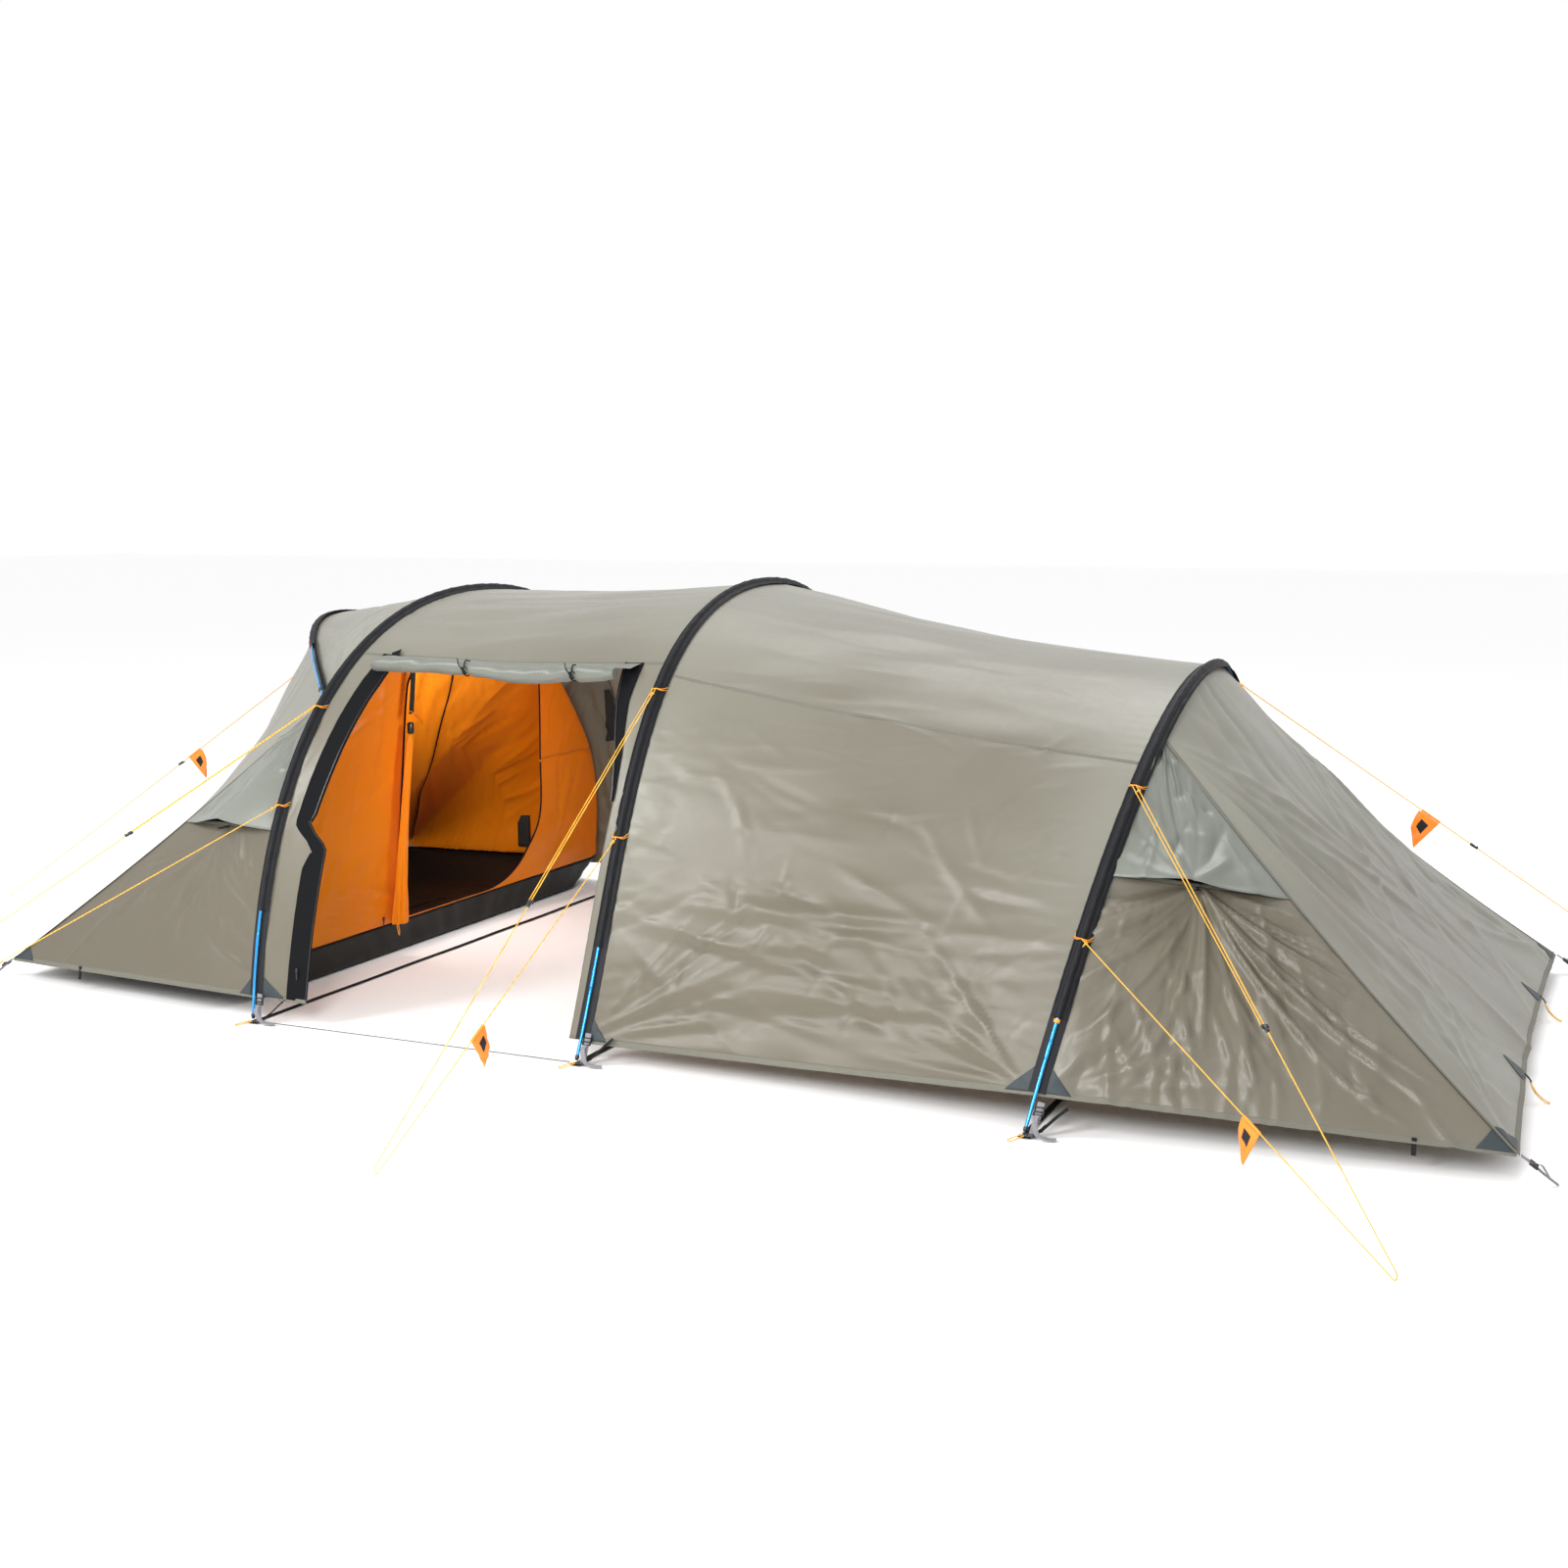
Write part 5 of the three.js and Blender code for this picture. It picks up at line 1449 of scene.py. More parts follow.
INNER_X, INNER_REAR, LEAN = -0.200, -1.275, 0.09
INNER_HALF, INNER_REAR_HALF, TUB_TOP = 1.480, 1.285, 0.142
TUB_SIDE_SLOPE, TUB_REAR_SLOPE = 0.260, 0.090
WALL_HALF = [
    (-1.460, 0.146), (-1.425, 0.470), (-1.320, 0.740), (-1.090, 1.010), (-0.800, 1.270), (-0.430, 1.450),
    (0.0, 1.530)
]
WALL = np.array(WALL_HALF + [(-y, z) for y, z in WALL_HALF[-2::-1]])
OPENING = np.array([
    (-0.370, 0.160), (-0.10, 0.158), (0.20, 0.158), (0.430, 0.160), (0.600, 0.205), (0.730, 0.300),
    (0.838, 0.470), (0.800, 0.800), (0.745, 1.165),
    (0.690, 1.290), (0.300, 1.340), (-0.250, 1.300), (-0.345, 1.260), (-0.370, 1.150), (-0.370, 0.800),
    (-0.370, 0.450),
])


def dense(points, count, closed=False):
    """Evenly spaced points along straight pieces."""
    p = np.vstack([points, points[:1]]) if closed else points
    along = np.concatenate([[0], np.cumsum(np.linalg.norm(np.diff(p, axis=0), axis=1))])
    at = np.linspace(0, along[-1], count, endpoint=not closed)
    return np.stack([np.interp(at, along, p[:, i]) for i in range(p.shape[1])], 1)


def wall_3d(yz, off=0.0):
    """A point of the front wall's plane, off it towards the doorway."""
    y, z = yz[..., 0], yz[..., 1]
    return np.stack([INNER_X + LEAN * z + off - ROW_X, y, z], -1)


def inner_wall():
    """The wall from its opening out to its outline, on rays from the opening's middle."""
    middle = np.array([0.2, 0.75])
    angle = np.linspace(0, 2 * math.pi, 300, endpoint=False)
    full = np.vstack([smooth_line(WALL, 200), dense(np.array([(1.46, 0.146), (-1.46, 0.146)]), 60)[1:-1]])

    def radius(outline):
        p = dense(outline, 1600, True) - middle
        turn = np.arctan2(p[:, 1], p[:, 0]) % (2 * math.pi)
        order = np.argsort(turn)
        return np.interp(angle, turn[order], np.linalg.norm(p, axis=1)[order], period=2 * math.pi)

    opening = radius(smooth_line(np.vstack([OPENING, OPENING[:1]]), 300))
    outline = radius(full)
    r = np.linspace(0, 1, 40)[None]
    size = opening[:, None] + (outline - opening)[:, None] * r
    yz = middle + size[..., None] * np.stack([np.cos(angle), np.sin(angle)], -1)[:, None]
    rng = np.random.default_rng(23)
    a, b = yz[..., 1], yz[..., 0]
    rows = scattered(
        rng, 36, (0.15, 1.2), (-1.4, -0.4), (0.45, 0.4), (0.2, 0.7), (0.008, 0.022), (0.003, 0.009), 0.3
    )
    rows += scattered(
        rng, 22, (0.3, 1.3), (0.8, 1.4), (1.2, 0.4), (0.2, 0.6), (0.010, 0.022), (0.002, 0.006), 0.3
    )
    rows += scattered(
        rng, 10, (0.2, 1.2), (-1.1, -0.45), (1.4, 0.15), (0.5, 1.0), (0.012, 0.03), (0.004, 0.008), 0.1
    )
    bumps = (
        creases(a, b, rows) + ripples(a, b, rng, 6, (0.15, 0.4), (0.5, 0.8), 0.010)
    ) * np.sin(math.pi * r) ** 0.6
    grid = wall_3d(yz, bumps)
    return np.vstack([grid, grid[:1]]), np.vstack([yz, yz[:1]])


grid, yz = inner_wall()
obj = sheet("inner_wall_cloth", [(grid, None, 0.35)])
place(obj, INNER, "tent", "inner_fabric", ("inner_front_wall",))
edge = grid[:, 0] + (0.004, 0, 0)
place(rod("inner_zip_line", edge[:-1], 0.0042, (1, 0, 0), sides=8), BAND, "tent", "sleeve_fabric")


def canopy_grid():
    """The inner roof and sides: from the front wall over the brow down to the tub's rear and side edges."""
    u = np.linspace(0, 1, 200)
    wall = dense(smooth_line(WALL, 200), 200)
    start = wall_3d(wall * (0.995, 1), -0.004)
    side = np.clip(np.minimum(u, 1 - u) / 0.25, 0, 1)
    across = np.clip((u - 0.25) / 0.5, 0, 1)
    finish = np.stack(
        [
            np.full(200, INNER_REAR - ROW_X), -INNER_REAR_HALF + 2 * INNER_REAR_HALF * across,
            TUB_TOP + 0.005 + 0.030 * side
        ],
        1
    )
    over = np.clip((u - 1 / 3) / (1 / 3), 0, 1)
    brow = BROW.at(0.15 + 0.7 * over, -0.090) - (0, 0, 0.060)
    lift = np.clip(np.minimum(u - 0.22, 0.78 - u) / 0.14, 0, 1)
    lift = (lift * lift * (3 - 2 * lift))[:, None, None]
    v = np.linspace(0, 1, 130)[None, :, None]
    straight = start[:, None] * (1 - v) + finish[:, None] * v
    bend = np.minimum(0.48 * np.sin(math.pi * over) + 0.1, 0.45)[:, None, None]
    bent = np.where(
        v < bend, start[:, None] + (brow - start)[:, None] * v / bend,
        brow[:, None] + (finish - brow)[:, None] * (v - bend) / (1 - bend)
    )
    grid = straight * (1 - lift) + bent * lift
    pull = 0.035 * np.sin(math.pi * v[..., 0])
    grid[..., 2] -= pull * np.sin(math.pi * u)[:, None]
    grid[..., 1] += pull * np.cos(math.pi * u)[:, None]
    a, b = lengths(grid, 0), lengths(grid, 1)
    rng = np.random.default_rng(41)
    half = a.max() / 2
    rows = []
    for mirror in (0, 1):
        near = scattered(
            rng, 90, (0.1, half), (0.1, 1.1), (-0.05, 0.15), (0.25, 0.8), (0.008, 0.020), (0.0015, 0.005),
            0.2
        )
        rows += [(2 * half - r[0], r[1], -r[2], *r[3:]) if mirror else r for r in near]
    bumps = (
        creases(a, b, rows) + ripples(a, b, rng, 6, (0.12, 0.3), (0, 0.3), 0.006)
    ) * np.clip(np.minimum(v[..., 0], 1 - v[..., 0]) / 0.08, 0, 1)
    return grid - normals(grid[:, ::-1])[:, ::-1] * bumps[..., None]


canopy = grid = canopy_grid()
obj = sheet("inner_canopy_cloth", [(grid[:, ::-1], None, 0.45)])
place(obj, INNER, "tent", "inner_fabric", ("inner_canopy",))


def inner_tape(name, line, width=0.016, up=(1, 0, 0)):
    """Black binding along a seam inside the cabin."""
    return place(ribbon(name, line, width, 0.003, up, count=60), BAND, "tent", "sleeve_fabric")


def canopy_line(u0, u1, v0=0.02, v1=0.98, inset=0.006):
    """A line across the canopy, from its front edge to its rear one."""
    out = normals(canopy[:, ::-1])[:, ::-1]
    points = []
    for t in np.linspace(0, 1, 14):
        i, j = int(round((u0 + (u1 - u0) * t) * 199)), int(round((v0 + (v1 - v0) * t) * 129))
        points.append(canopy[i, j] - out[i, j] * inset)
    return points


inner_tape("inner_seam_far", canopy_line(0.54, 0.75))
inner_tape("inner_seam_near", canopy_line(0.46, 0.25))


def tub():
    """The groundsheet: floor and turned-up walls as one sheet, a little slack."""
    def ring(inset, z, wobble):
        low = 1 - z / TUB_TOP
        front_y, rear_y = (half - inset - TUB_SIDE_SLOPE * low for half in (INNER_HALF, INNER_REAR_HALF))
        rear_x = INNER_REAR + inset + TUB_REAR_SLOPE * low
        corners = np.array(
            [(INNER_X - inset, -front_y), (INNER_X - inset, front_y), (rear_x, rear_y), (rear_x, -rear_y)]
        )
        p = dense(corners, 420, True)
        s = np.linspace(0, 2 * math.pi, 420, endpoint=False)
        d = wobble * (np.sin(17 * s) + 0.7 * np.sin(29 * s + 1) + 0.5 * np.sin(53 * s + 2))
        centre = corners.mean(0)
        direction = (p - centre) / np.linalg.norm(p - centre, axis=1, keepdims=True)
        p = p + direction * (d - abs(wobble) * 2)[:, None]
        return np.column_stack([p[:, 0] - ROW_X, p[:, 1], np.full(420, z) + 0.3 * d])
    levels = [(0.000, TUB_TOP, 0.0015), (0.001, 0.125, 0.0022), (0.0, 0.10, 0.0030), (0.001, 0.075, 0.0030),
              (0.0, 0.050, 0.0022),
              (0.001, 0.025, 0.0012), (0.004, 0.008, 0.0004), (0.016, 0.0035, 0.0002)]
    levels += [(inset, 0.0035, 0.0) for inset in (0.08, 0.2, 0.34, 0.44, 0.50)]
    rings = np.stack([ring(i, z, w) for i, z, w in levels])
    rings = np.concatenate([rings, rings[:, :1]], 1)
    return rings


grid = tub()
obj = sheet("inner_tub_cloth", [(grid, None, 0.5)])
place(obj, TUB, "tent", "groundsheet", ("inner_tub",))
rim = [grid[0, i] for i in range(0, 420, 7)]
place(rod("inner_tub_binding", rim, 0.0035, (0, 0, 1), sides=8), BAND, "tent", "sleeve_fabric")


def flap():
    """The open inner door, gathered: black webbing above, an orange band, a buckle, then the loose cloth."""
    levels = [
        (0.150, 1.30), (0.17, 1.32), (0.25, 1.25), (0.34, 1.02), (0.48, 0.85), (0.60, 0.72), (0.75, 0.66),
        (0.90, 0.60), (0.975, 0.55), (1.0, 0.42), (1.03, 0.38)
    ]
    z = np.linspace(levels[0][0], levels[-1][0], 90)
    size = np.interp(z, [l[0] for l in levels], [l[1] for l in levels])
    turn = np.linspace(0, 2 * math.pi, 60, endpoint=False)
    rng = np.random.default_rng(77)
    folds = sum(
        rng.uniform(0.4, 1) * np.sin(
            k * turn[None] + rng.uniform(-3, 3) * z[:, None] * 3 + rng.uniform(0, 6)
        )
        for k in (3, 5, 7, 9, 11)
    )
    radius = (1 + 0.10 * folds * (1.2 - z[:, None])) * size[:, None]
    x = INNER_X + LEAN * z + 0.046
    y = -0.385 - 0.012 * np.sin(3 * z)
    rings = np.stack([
        x[:, None] + 0.020 * radius * np.cos(turn) - ROW_X, y[:, None] - 0.034 * radius * np.sin(turn),
        np.broadcast_to(z[:, None], radius.shape),
    ], -1)
    obj = loft("inner_door_bundle", rings)
    obj.data.uv_layers.new(name="cloth")
    place(obj, INNER, "tent", "inner_fabric", ("inner_door_flap",))
    at = lambda z, dx=0.046, dy=0.0: np.array([INNER_X + LEAN * z + dx - ROW_X, -0.385 + dy, z])
    strap = ribbon(
        "inner_door_strap", [at(1.33, 0.03, 0.02), at(1.24, 0.04, 0.008), at(1.16), at(1.10)], 0.034, 0.004,
        (1, 0, 0), 20
    )
    place(strap, STRAP, "tent", "base_webbing")
    place(
        ribbon(
            "inner_door_tie",
            [
                at(1.115, 0.05, -0.022), at(1.10, 0.068, 0), at(1.09, 0.055, 0.022), at(1.075, 0.05, 0.06),
                at(1.05, 0.05, 0.085)
            ],
            0.016, 0.003, (0, 0, 1), 24
        ),
        INNER, "tent", "inner_fabric"
    )
    place(
        block(
            "inner_door_buckle", at(1.035), (0.020, 0.032, 0.055), ((1, 0, 0), (0, 1, 0), (0, 0, 1)), 0.3
        ),
        PLASTIC, "tent", "black_plastic"
    )


flap()

low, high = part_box("inner_zip_slider")
c = (np.array(low) + np.array(high)) / 2
parts = [
    block("body", (c[0], c[1], high[2] - 0.009), (0.006, 0.012, 0.018), axes, 0.35, 0.8),
    block("tab", (c[0], c[1], high[2] - 0.030), (0.003, 0.007, 0.026), axes, 0.4),
]
place(joined("inner_zip_pull", parts), PLASTIC, "inner_slider", "black_plastic", ("inner_zip_slider",))

# ---- webbing, buckles and peg loops --------------------------------------------------


def foot(key, arch, side):
    """A hoop's foot: an eyelet strap, the tension webbing with its ladder-lock, a keeper, a tail, a cord
    loop.
    """
    word = "near" if side < 0 else "far"
    node = f"foot_tensioner_{key}_{word}"
    low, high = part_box(node)
    u = lambda d: d / arch.long if side < 0 else 1 - d / arch.long
    at = lambda d, out=0.0, aside=0.0: arch.at(u(d), out, aside)
    outward = unit(at(0.05, 1.0) - at(0.05))
    up = unit(at(0.10) - at(0.02))
    x = np.array([1.0, 0, 0])
    base = np.array([arch.x - ROW_X, side * arch.half, 0.0])
    strap = ribbon(
        f"foot_strap_{key}_{word}",
        [base + (0.027, 0, 0.004), base + x * 0.027 + up * 0.05, base + x * 0.027 + up * 0.118], 0.024,
        0.0028, outward, 18
    )
    place(strap, WEBBING, "tent", "grey_webbing", (node,))
    buckle = ladder_lock(
        f"foot_buckle_{key}_{word}", base + x * 0.027 + up * 0.088 + outward * 0.001, (x, outward, up)
    )
    place(buckle, PLASTIC, "tent", "black_plastic")
    keeper = ladder_lock(
        f"foot_ring_{key}_{word}", base + (0.020, 0, 0.009), (x, (0, 0, 1), (0, side, 0)), 0.036, 0.03,
        0.006
    )
    place(keeper, PLASTIC, "tent", "black_plastic")
    eyelet = ribbon(
        f"foot_eyelet_{key}_{word}",
        [base + (-0.016, 0, 0.003), base + (0.004, 0, 0.0024), base + (0.026, 0, 0.004)], 0.028, 0.003,
        (0, 0, 1), 12
    )
    place(eyelet, STRAP, "tent", "base_webbing")
    tail_start = base + x * 0.027 + up * 0.074 + outward * 0.006
    tail = ribbon(f"foot_tail_{key}_{word}", [
        tail_start, tail_start + outward * 0.014 - up * 0.02, base + (0.050, side * 0.018, 0.020),
        base + (0.080, side * 0.012, 0.008), base + (0.110, side * 0.004, 0.007),
    ], 0.017, 0.0018, (0, side * 0.4, 1), 26)
    place(tail, WEBBING, "tent", "grey_webbing")
    loop = [base + p for p in ((0.002, 0, 0.008), (-0.010, side * 0.016, 0.009),
                               (-0.026, side * 0.038, 0.006), (-0.034, side * 0.058, 0.004),
                               (-0.028, side * 0.070, 0.004), (-0.016, side * 0.062, 0.005),
                               (-0.006, side * 0.040, 0.007), (0.004, side * 0.018, 0.009),
                               (0.010, side * 0.004, 0.008))]
    loop = smooth_line(loop, 32)
    cord(
        f"foot_loop_{key}_{word}", loop, CORD, GUYLINE, "guyline", far_end="object", stiffness="limp",
        lay="loose"
    )


for key, arch in (("a", A), ("b", B), ("c", C)):
    for side in (-1, 1):
        foot(key, arch, side)
    low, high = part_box(f"base_strap_{key}")
    x = (low.x + high.x) / 2
    y = np.linspace(low.y, high.y, 70)
    wobble = 0.0015 * np.sin(y * 9 + ord(key))
    line = np.column_stack([x + wobble, y, np.full(70, 0.0028)])
    place(
        ribbon(f"base_strap_{key}_webbing", line, 0.024, 0.0024, (0, 0, 1), 120), STRAP, "tent",
        "base_webbing", (f"base_strap_{key}",)
    )


def corner(end, spec, side):
    """The webbing from a lower corner of the fly to its peg, with a ladder-lock and a tail."""
    word = "near" if side < 0 else "far"
    node = f"corner_strap_{end.key}_{word}"
    low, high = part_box(node)
    ahead = math.copysign(1, spec["end"])
    y = side * spec["half"]
    start = np.array([spec["x"] + ahead * 0.012 - ROW_X, y, spec["hem"] - 0.004])
    finish = np.array([spec["end"] - ahead * 0.004 - ROW_X, y, 0.004])
    run_ = finish - start
    normal = unit(np.cross(run_, (0, 1, 0)) * (-1 if ahead > 0 else 1))
    normal = normal if normal[2] > 0 else -normal
    middle = [start + run_ * t + normal * 0.002 * math.sin(6 * t) for t in (0, 0.3, 0.6, 1)]
    place(
        ribbon(f"corner_webbing_{end.key}_{word}", middle, 0.024, 0.0028, normal, 24), WEBBING, "tent",
        "grey_webbing", (node,)
    )
    c = start + run_ * 0.33 + normal * 0.002
    place(
        ladder_lock(f"corner_buckle_{end.key}_{word}", c, ((0, 1, 0), normal, unit(run_))), PLASTIC, "tent",
        "black_plastic"
    )
    tail = [
        c + normal * 0.006, c + run_ * 0.12 + normal * 0.016 + (0, side * 0.01, 0),
        c + run_ * 0.25 + normal * 0.012 + (0, side * 0.018, 0),
        c + run_ * 0.38 + normal * 0.006 + (0, side * 0.022, 0)
    ]
    place(
        ribbon(f"corner_tail_{end.key}_{word}", tail, 0.018, 0.0018, normal, 20), WEBBING, "tent",
        "grey_webbing"
    )


for side in (-1, 1):
    corner(front, FRONT, side)
    corner(rear, REAR, side)

# ---- patches, loops and small fittings ------------------------------------------------


def lay_on(grid, row, column, lift):
    """Points at fractional places of a panel's grid, raised off its cloth."""
    out = normals(grid)
    i = np.clip(np.floor(row).astype(int), 0, grid.shape[0] - 2)
    j = np.clip(np.floor(column).astype(int), 0, grid.shape[1] - 2)
    s, t = (row - i)[..., None], (column - j)[..., None]

    def mixed(values):
        near = values[i, j] * (1 - t) + values[i, j + 1] * t
        return near * (1 - s) + (values[i + 1, j] * (1 - t) + values[i + 1, j + 1] * t) * s

    return mixed(grid) + mixed(out) * lift


def slate(name, grid, row, column, reach, spread=(0, 1), lift=0.0026):
    """A slate triangle sewn on a panel: its base lies along the hem and its point away from it.

    reach is the length along the columns' direction from the hem, spread the base along it, in metres."""
    down = lengths(grid, 0)[:, int(column)] if row in (0, grid.shape[0] - 1) else None
    s, t = np.meshgrid(np.linspace(0, 1, 16), np.linspace(0, 1, 16), indexing="ij")
    if down is not None:
        per_row = down[-1] / (grid.shape[0] - 1)
        across = lengths(grid, 1)[int(row)]
        per_column = across[-1] / (grid.shape[1] - 1)
        inward = 1 if row == 0 else -1
        i = row + inward * s * reach / per_row
        j = column + (spread[0] + (spread[1] - spread[0]) * t) * (1 - 0.96 * s) / per_column
        turned = inward < 0
    else:
        per_row = lengths(grid, 0)[-1, int(column)] / (grid.shape[0] - 1)
        per_column = lengths(grid, 1)[int(row)][-1] / (grid.shape[1] - 1)
        inward = 1 if column == 0 else -1
        j = column + inward * s * reach / per_column
        i = row + (spread[0] + (spread[1] - spread[0]) * t) * (1 - 0.96 * s) / per_row
        turned = inward > 0
    i, j = np.clip(i, 0, grid.shape[0] - 1), np.clip(j, 0, grid.shape[1] - 1)
    points = lay_on(grid, i, j, lift)
    return place(
        sheet(name, [(points[:, ::-1] if turned else points, None, 0.4)], 0.0012), PATCH, "tent",
        "sleeve_fabric"
    )


def peg_loop(name, hem_point, outward, tab=0.026, size=0.05):
    """A black webbing tab under the hem with a loop of cord through it, lying out towards its peg."""
    outward = unit(outward)
    side = unit(np.cross((0, 0, 1), outward))
    top = np.asarray(hem_point, float) + (0, 0, 0.012) + outward * 0.003
    end = np.asarray(hem_point, float) + outward * tab - (0, 0, 0.014)
    place(
        ribbon(
            f"{name}_tab", [top, (top + end) / 2 + outward * 0.002, end], 0.020, 0.0026,
            outward + (0, 0, 1), 12
        ),
        STRAP, "tent", "base_webbing"
    )
    start = end - outward * 0.004
    drop = start[2] - 0.004
    route = [start + outward * (size * reach) + side * (0.5 * size * wide) - (0, 0, drop * fall)
             for reach, wide,
             fall in ((0, 0.12, 0), (0.35, 0.45, 0.5), (0.9, 0.6, 0.9), (1.25, 0.3, 1), (1.3, -0.2, 1),
                                       (0.95, -0.55, 0.9), (0.35, -0.4, 0.5), (0, -0.12, 0))]
    return cord(
        f"{name}_cord", smooth_line(route, 26), CORD, GUYLINE, "guyline", far_end="object",
        stiffness="limp", lay="loose"
    )


def hanging_tab(name, hem_point, outward):
    """A short end of black webbing that hangs from the hem."""
    p, out = np.asarray(hem_point, float), unit(outward)
    line = [p + (0, 0, 0.010) + out * 0.003, p + out * 0.004 - (0, 0, 0.015), p + out * 0.010 - (0, 0, 0.045)]
    place(ribbon(name, line, 0.015, 0.002, out, 12), STRAP, "tent", "base_webbing")


front_low, rear_low = vents["front"][3], vents["rear"][3]
front_slope, rear_slope = slopes["front"], slopes["rear"]
last_main, last_low, last_slope = main_grid.shape[1] - 1, front_low.shape[1] - 1, front_slope.shape[1] - 1
slate("patch_b_front", main_grid, 0, 0, 0.10, (0, 0.10))
slate("patch_c_rear", main_grid, 0, last_main, 0.11, (-0.11, 0))
slate("patch_c_front", front_low, 0, 0, 0.11, (0, 0.11))
slate("patch_a_front", mid_grid, 0, 0, 0.10, (0, 0.09))
slate("patch_a_rear", rear_low, 0, last_low, 0.10, (-0.09, 0))
slate("patch_front_corner", front_low, 0, last_low, 0.10, (-0.12, 0))
slate("patch_rear_corner", rear_low, 0, 0, 0.09, (0, 0.12))
slate("patch_b_far", main_grid, main_grid.shape[0] - 1, 0, 0.10, (0, 0.10))
slate("patch_c_far", main_grid, main_grid.shape[0] - 1, last_main, 0.11, (-0.11, 0))
slate("patch_a_far", mid_grid, mid_grid.shape[0] - 1, 0, 0.10, (0, 0.10))
slope_rows = front_slope.shape[0] - 1
for i, share in enumerate((0.0, 0.30, 0.70, 1.0)):
    row = min(max(share * slope_rows, 1), slope_rows - 1)
    wide = ((0, 0.12), (-0.06, 0.06), (-0.06, 0.06), (-0.12, 0))[i]
    slate(f"patch_front_hem_{i}", front_slope, row, last_slope, 0.10, wide)
    if 0 < i < 3:
        peg_loop(f"front_loop_{i}", front_slope[int(row), -1], (1, 0, 0))
rear_rows = rear_slope.shape[0] - 1
for i, share in enumerate((0.33, 0.67)):
    slate(f"patch_rear_hem_{i}", rear_slope, share * rear_rows, 0, 0.09, (-0.05, 0.05))
    peg_loop(f"rear_loop_{i}", rear_slope[int(share * rear_rows), 0], (-1, 0, 0))
hanging_tab("tab_front_near", front_low[0, int(last_low * 0.80)], (0, -1, 0))
hanging_tab("tab_rear_near", rear_low[0, int(last_low * 0.30)], (0, -1, 0))
peg_loop("main_loop_far", main_grid[-1, last_main // 2], (0, 1, 0))

for key, arch in (("a", A), ("b", B), ("c", C)):
    # the black strap from the foot up to the inside of the hem, with its buckle
    base = np.array([arch.x - ROW_X, -arch.half, 0.0])
    line = [
        base + p
        for p in (
            (0.030, 0.006, 0.007), (0.060, 0.018, 0.030), (0.100, 0.030, 0.070), (0.135, 0.036, 0.102)
        )
    ]
    inner_strap = ribbon("strap", line, 0.018, 0.0024, (-0.6, -0.5, 0.6), 20)
    catch = ladder_lock(
        "catch", line[1], ((0.3, -1, 0), (-0.6, -0.4, 0.6), (0.6, 0.2, 0.7)), 0.026, 0.024, 0.007
    )
    place(joined(f"foot_inner_strap_{key}", [inner_strap, catch]), STRAP, "tent", "base_webbing")

# a band of orange elastic round the third hoop, under its sleeve
turn = np.linspace(0, 2 * math.pi, 20, endpoint=False)
levels = 3 / 36 - np.array([0.004, 0.010, 0.016]) / C.long
rings = np.stack([C.at(levels, 0.0105 * math.cos(t), 0.0105 * math.sin(t)) for t in turn], 1)
place(loft("pole_c_elastic", rings), ELASTIC, "tent", "guyline")

# the brow hoop's near end: a tape beside the bare pole, a red tab and a clip
tape_at = np.linspace(0.03, 0.26, 14)
tape = ribbon(
    "tape", BROW.at(tape_at, -CLOTH_DEPTH + 0.004, 0.014), 0.026, 0.0016, BROW.at(0.1, 1.0) - BROW.at(0.1),
    30
)
place(tape, BAND, "tent", "sleeve_fabric")
tape.name = "brow_tape"
across = unit(BROW.at(0.25, 0, 1.0) - BROW.at(0.25))
outward = unit(BROW.at(0.25, 1.0) - BROW.at(0.25))
down = np.cross(across, outward)
place(
    block("brow_tab", BROW.at(0.247, 0.006), (0.020, 0.007, 0.022), (across, outward, down), 0.35), RED,
    "tent", "sleeve_fabric"
)
place(
    block("brow_clip", BROW.at(0.035, 0.002), (0.018, 0.014, 0.030), (across, outward, down), 0.35),
    PLASTIC, "tent", "black_plastic"
)
far_axes = tuple(np.array(axis) * (1, -1, 1) for axis in (across, outward, down))
place(
    block("brow_clip_far", BROW.at(0.965, 0.002), (0.018, 0.014, 0.030), far_axes, 0.35), PLASTIC, "tent",
    "black_plastic"
)
# a small reinforcement covers the corner where the rear roof, the side and the sleeve meet
for word, u, axes in (("near", 0.012, (across, outward, down)), ("far", 0.988, far_axes)):
    place(
        block(f"brow_corner_{word}", BROW.at(u, -CLOTH_DEPTH - 0.004), (0.050, 0.004, 0.070), axes, 0.2),
        FLY, "tent", "fly_fabric"
    )

# the black corner piece at the top of the door's zip, and the tape along the hem under its foot
corner_at, corner_out = rear_edge[-1], rear_normal[-1]
piece = [
    corner_at + corner_out * 0.0062 + np.array(p)
    for p in ((-0.026, 0, -0.028), (0.014, 0.0, -0.010), (0.060, 0, 0.006))
]
place(ribbon("door_corner_piece", piece, 0.050, 0.0022, corner_out, 16), BAND, "tent", "sleeve_fabric")
foot_line = [
    rear_edge[0] + rear_normal[0] * 0.006 + np.array(p)
    for p in ((-0.10, 0, -0.001), (-0.04, 0, 0), (0.030, 0, 0))
]
place(ribbon("door_foot_tape", foot_line, 0.016, 0.0016, rear_normal[0], 14), SEAM, "tent", "fly_fabric")

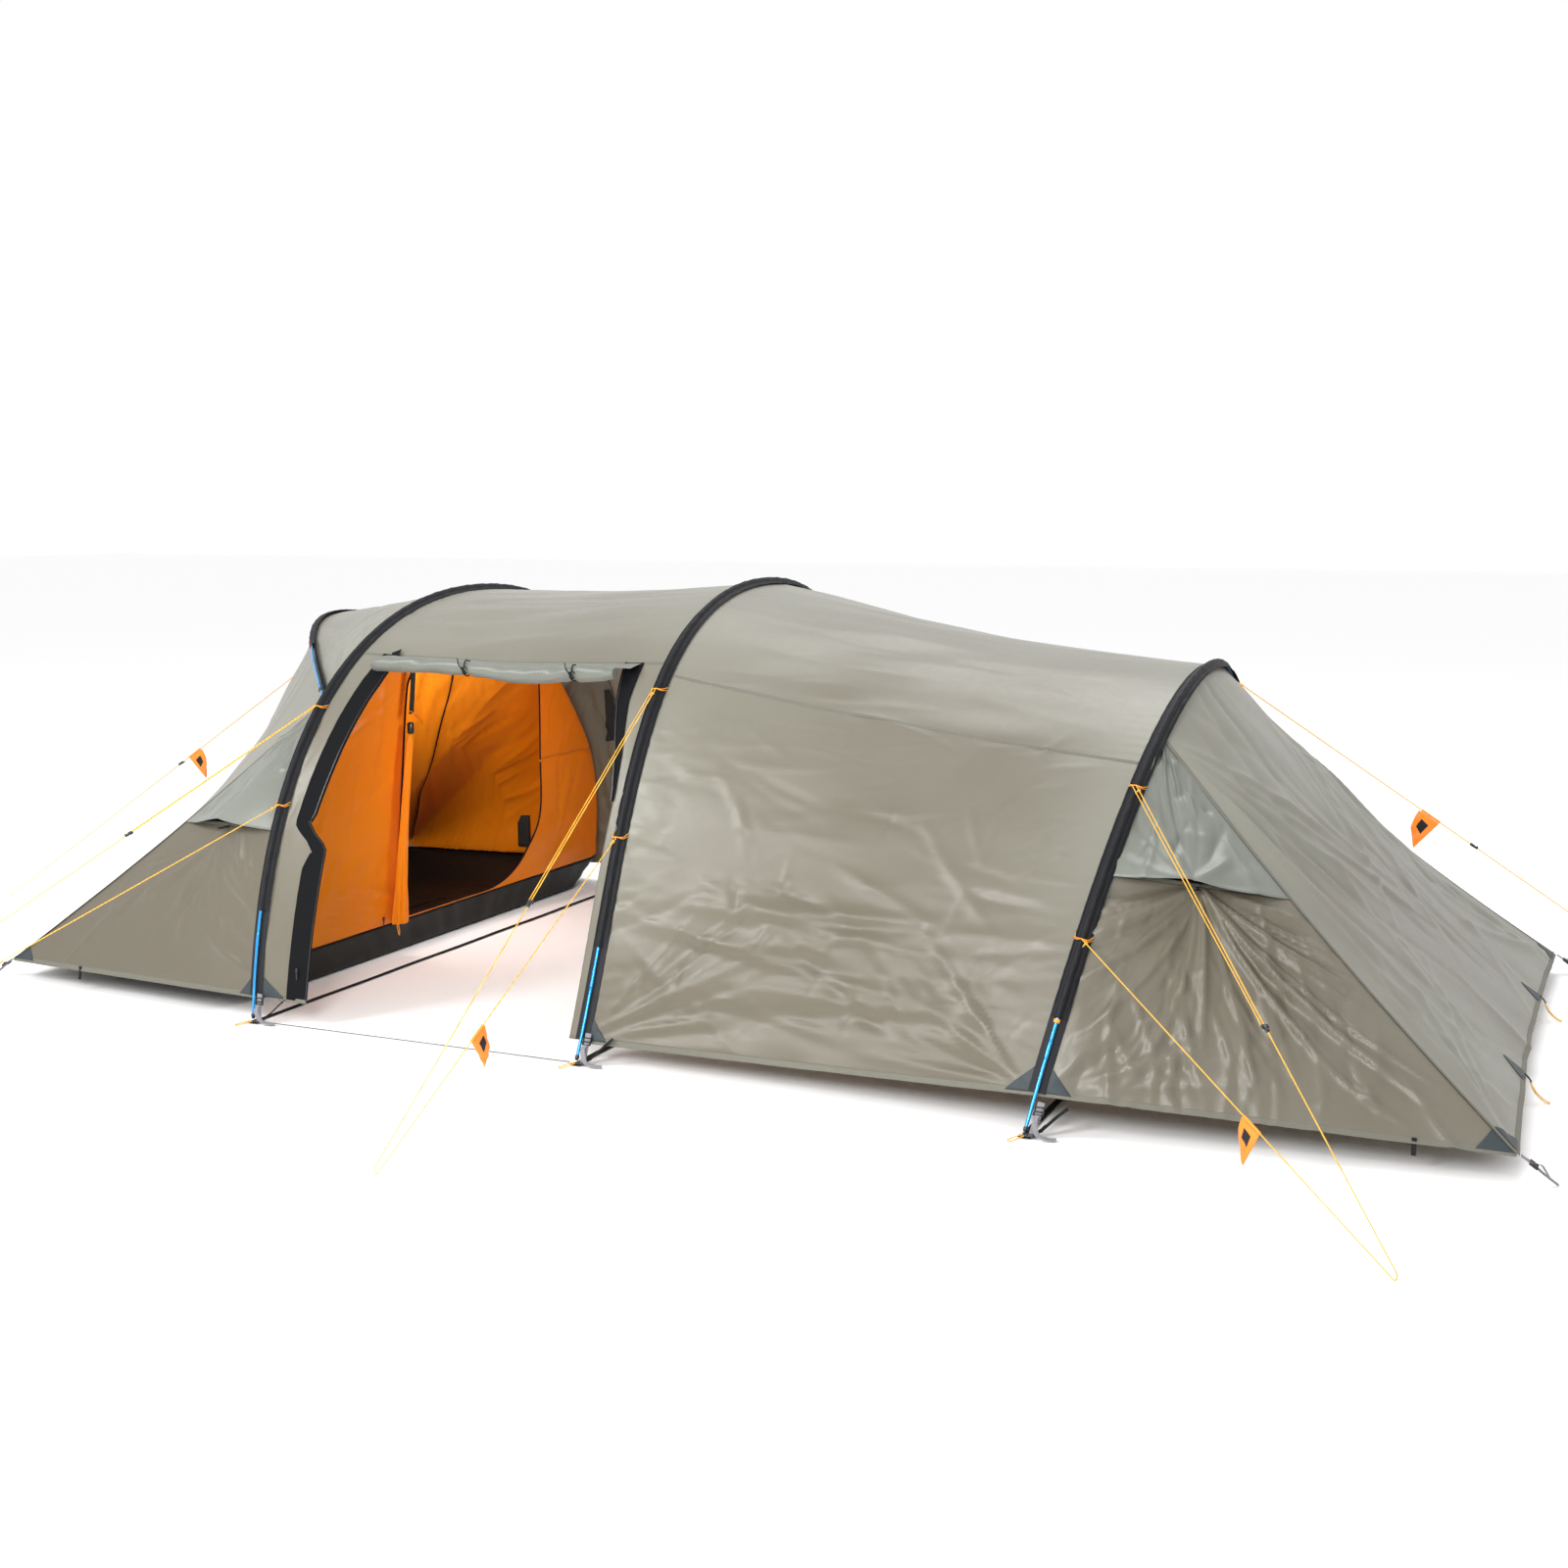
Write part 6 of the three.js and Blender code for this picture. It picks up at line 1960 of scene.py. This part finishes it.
# inside: a mesh pocket on the far wall, the far vent's mesh, and the elastic that holds the wall out
nearest = np.linalg.norm(canopy - (-0.56 - ROW_X, 1.30, 0.27), axis=2)
i, j = np.unravel_index(nearest.argmin(), nearest.shape)
inside = np.sign((canopy[100, 60] - canopy[i, j])[1])
rect = [
    canopy[i, j] + (dx, inside * 0.012, dz) for dx,
    dz in ((-0.035, -0.085), (0.035, -0.085), (0.035, 0.085), (-0.035, 0.085))
]
s, t = np.meshgrid(np.linspace(0, 1, 10), np.linspace(0, 1, 10), indexing="ij")
pocket = sum(
    w[..., None] * corner_ for w, corner_ in zip(((1 - s) * (1 - t), s * (1 - t), s * t, (1 - s) * t), rect)
)
pocket[..., 1] += inside * 0.006 * np.sin(math.pi * s) * t
place(sheet("inner_pocket", [(pocket, None, 0.5)], 0.0008), MESH, "tent", "black_plastic")
place(rod("inner_pocket_binding", [*rect, rect[0]], 0.003, (0, 1, 0), sides=6), BAND, "tent", "sleeve_fabric")

far_end = rear_far
rows_at = np.nonzero((far_end[:, -1, 2] > 0.78) & (far_end[:, -1, 2] < 1.08))[0]
columns_at = slice(far_end.shape[1] - 16, far_end.shape[1] - 2)
screen = (far_end - normals(far_end) * 0.010)[rows_at.min(): rows_at.max() + 1, columns_at]
place(sheet("vent_mesh_rear_far", [(screen, None, 0.5)], 0.0008), MESH, "tent", "black_plastic")

wall_edge = wall_3d(np.array([1.43, 0.63]))
hoop_side = A.at(1 - A.height(0.64), -0.004, -0.012)
elastic = rod(
    "elastic", [wall_edge, (wall_edge + hoop_side) / 2 - (0, 0, 0.003), hoop_side], 0.002, count=12, sides=6
)
place(elastic, ELASTIC, "tent", "guyline")
elastic.name = "inner_side_elastic"
place(
    block(
        "inner_side_toggle", wall_edge * 0.4 + hoop_side * 0.6, (0.010, 0.010, 0.026),
        ((0.7, 0.7, 0), (-0.7, 0.7, 0), (0, 0, 1)), 0.4
    ),
    PLASTIC, "tent", "black_plastic"
)

# the yellow tab at the top of the inner door's strap, and the cord pull under its bundle
tab_at = np.array([INNER_X + LEAN * 1.31 + 0.036 - ROW_X, -0.392, 1.31])
place(
    block("inner_yellow_tab", tab_at, (0.004, 0.020, 0.026), ((1, 0, 0), (0, 1, 0), (0, 0, 1)), 0.3),
    YELLOW, "tent", "inner_fabric"
)
pull = np.array([INNER_X + LEAN * 0.16 + 0.030 - ROW_X, -0.400, 0.158])
pull_line = smooth_line(
    [
        pull + p
        for p in (
            (0, 0, 0), (0.012, -0.010, -0.030), (0.016, -0.004, -0.062), (0.008, 0.010, -0.040),
            (0.002, 0.006, -0.006)
        )
    ],
    20
)
place(rod("inner_cord_pull", pull_line, 0.0022, (1, 0, 0), sides=6), ELASTIC, "tent", "guyline")

# ---- studio -------------------------------------------------------------------------


def studio():
    floor = mesh_object(
        "floor", [(-60, -60, -0.002), (60, -60, -0.002), (60, 60, -0.002), (-60, 60, -0.002)],
        [(0, 1, 2, 3)]
    )
    n = Nodes("floor")
    n.set(n.shader, Base_Color=(0.97, 0.97, 0.97, 1), Roughness=0.9)
    floor.data.materials.append(n.material)
    world = bpy.data.worlds.new("studio")
    world.use_nodes = True
    world.node_tree.nodes["Background"].inputs["Color"].default_value = (1, 1, 1, 1)
    world.node_tree.nodes["Background"].inputs["Strength"].default_value = 1.0
    bpy.context.scene.world = world
    # each lamp: name, place, what it looks at, side length in metres, power in watts
    for name, at, look, size, power in (
        ("key", (-5, -7, 6), (0, 0, 0.8), 2.5, 430),
        ("fill", (8, -6, 5), (1, 0, 0.6), 4, 70),
        ("top", (1, 3, 8), (0, 0, 0.5), 5, 330),
        ("doorway", (0.6, -5.5, 2.4), (-1.4, 0.2, 0.7), 1.2, 160),
        ("porch", (-0.75, -0.1, 1.38), (-1.9, 0.1, 0.5), 0.35, 11),
        ("cabin", (-2.05, -0.2, 1.15), (-2.6, 0.8, 0.4), 0.4, 12),
    ):
        data = bpy.data.lights.new(name, "AREA")
        data.energy, data.size = power, size
        lamp = bpy.data.objects.new(name, data)
        lamp.location = at
        lamp.visible_camera = False
        lamp.rotation_euler = (Vector(look) - Vector(at)).to_track_quat("-Z", "Y").to_euler()
        bpy.context.collection.objects.link(lamp)
    bpy.context.scene.view_settings.view_transform = "Standard"


studio()
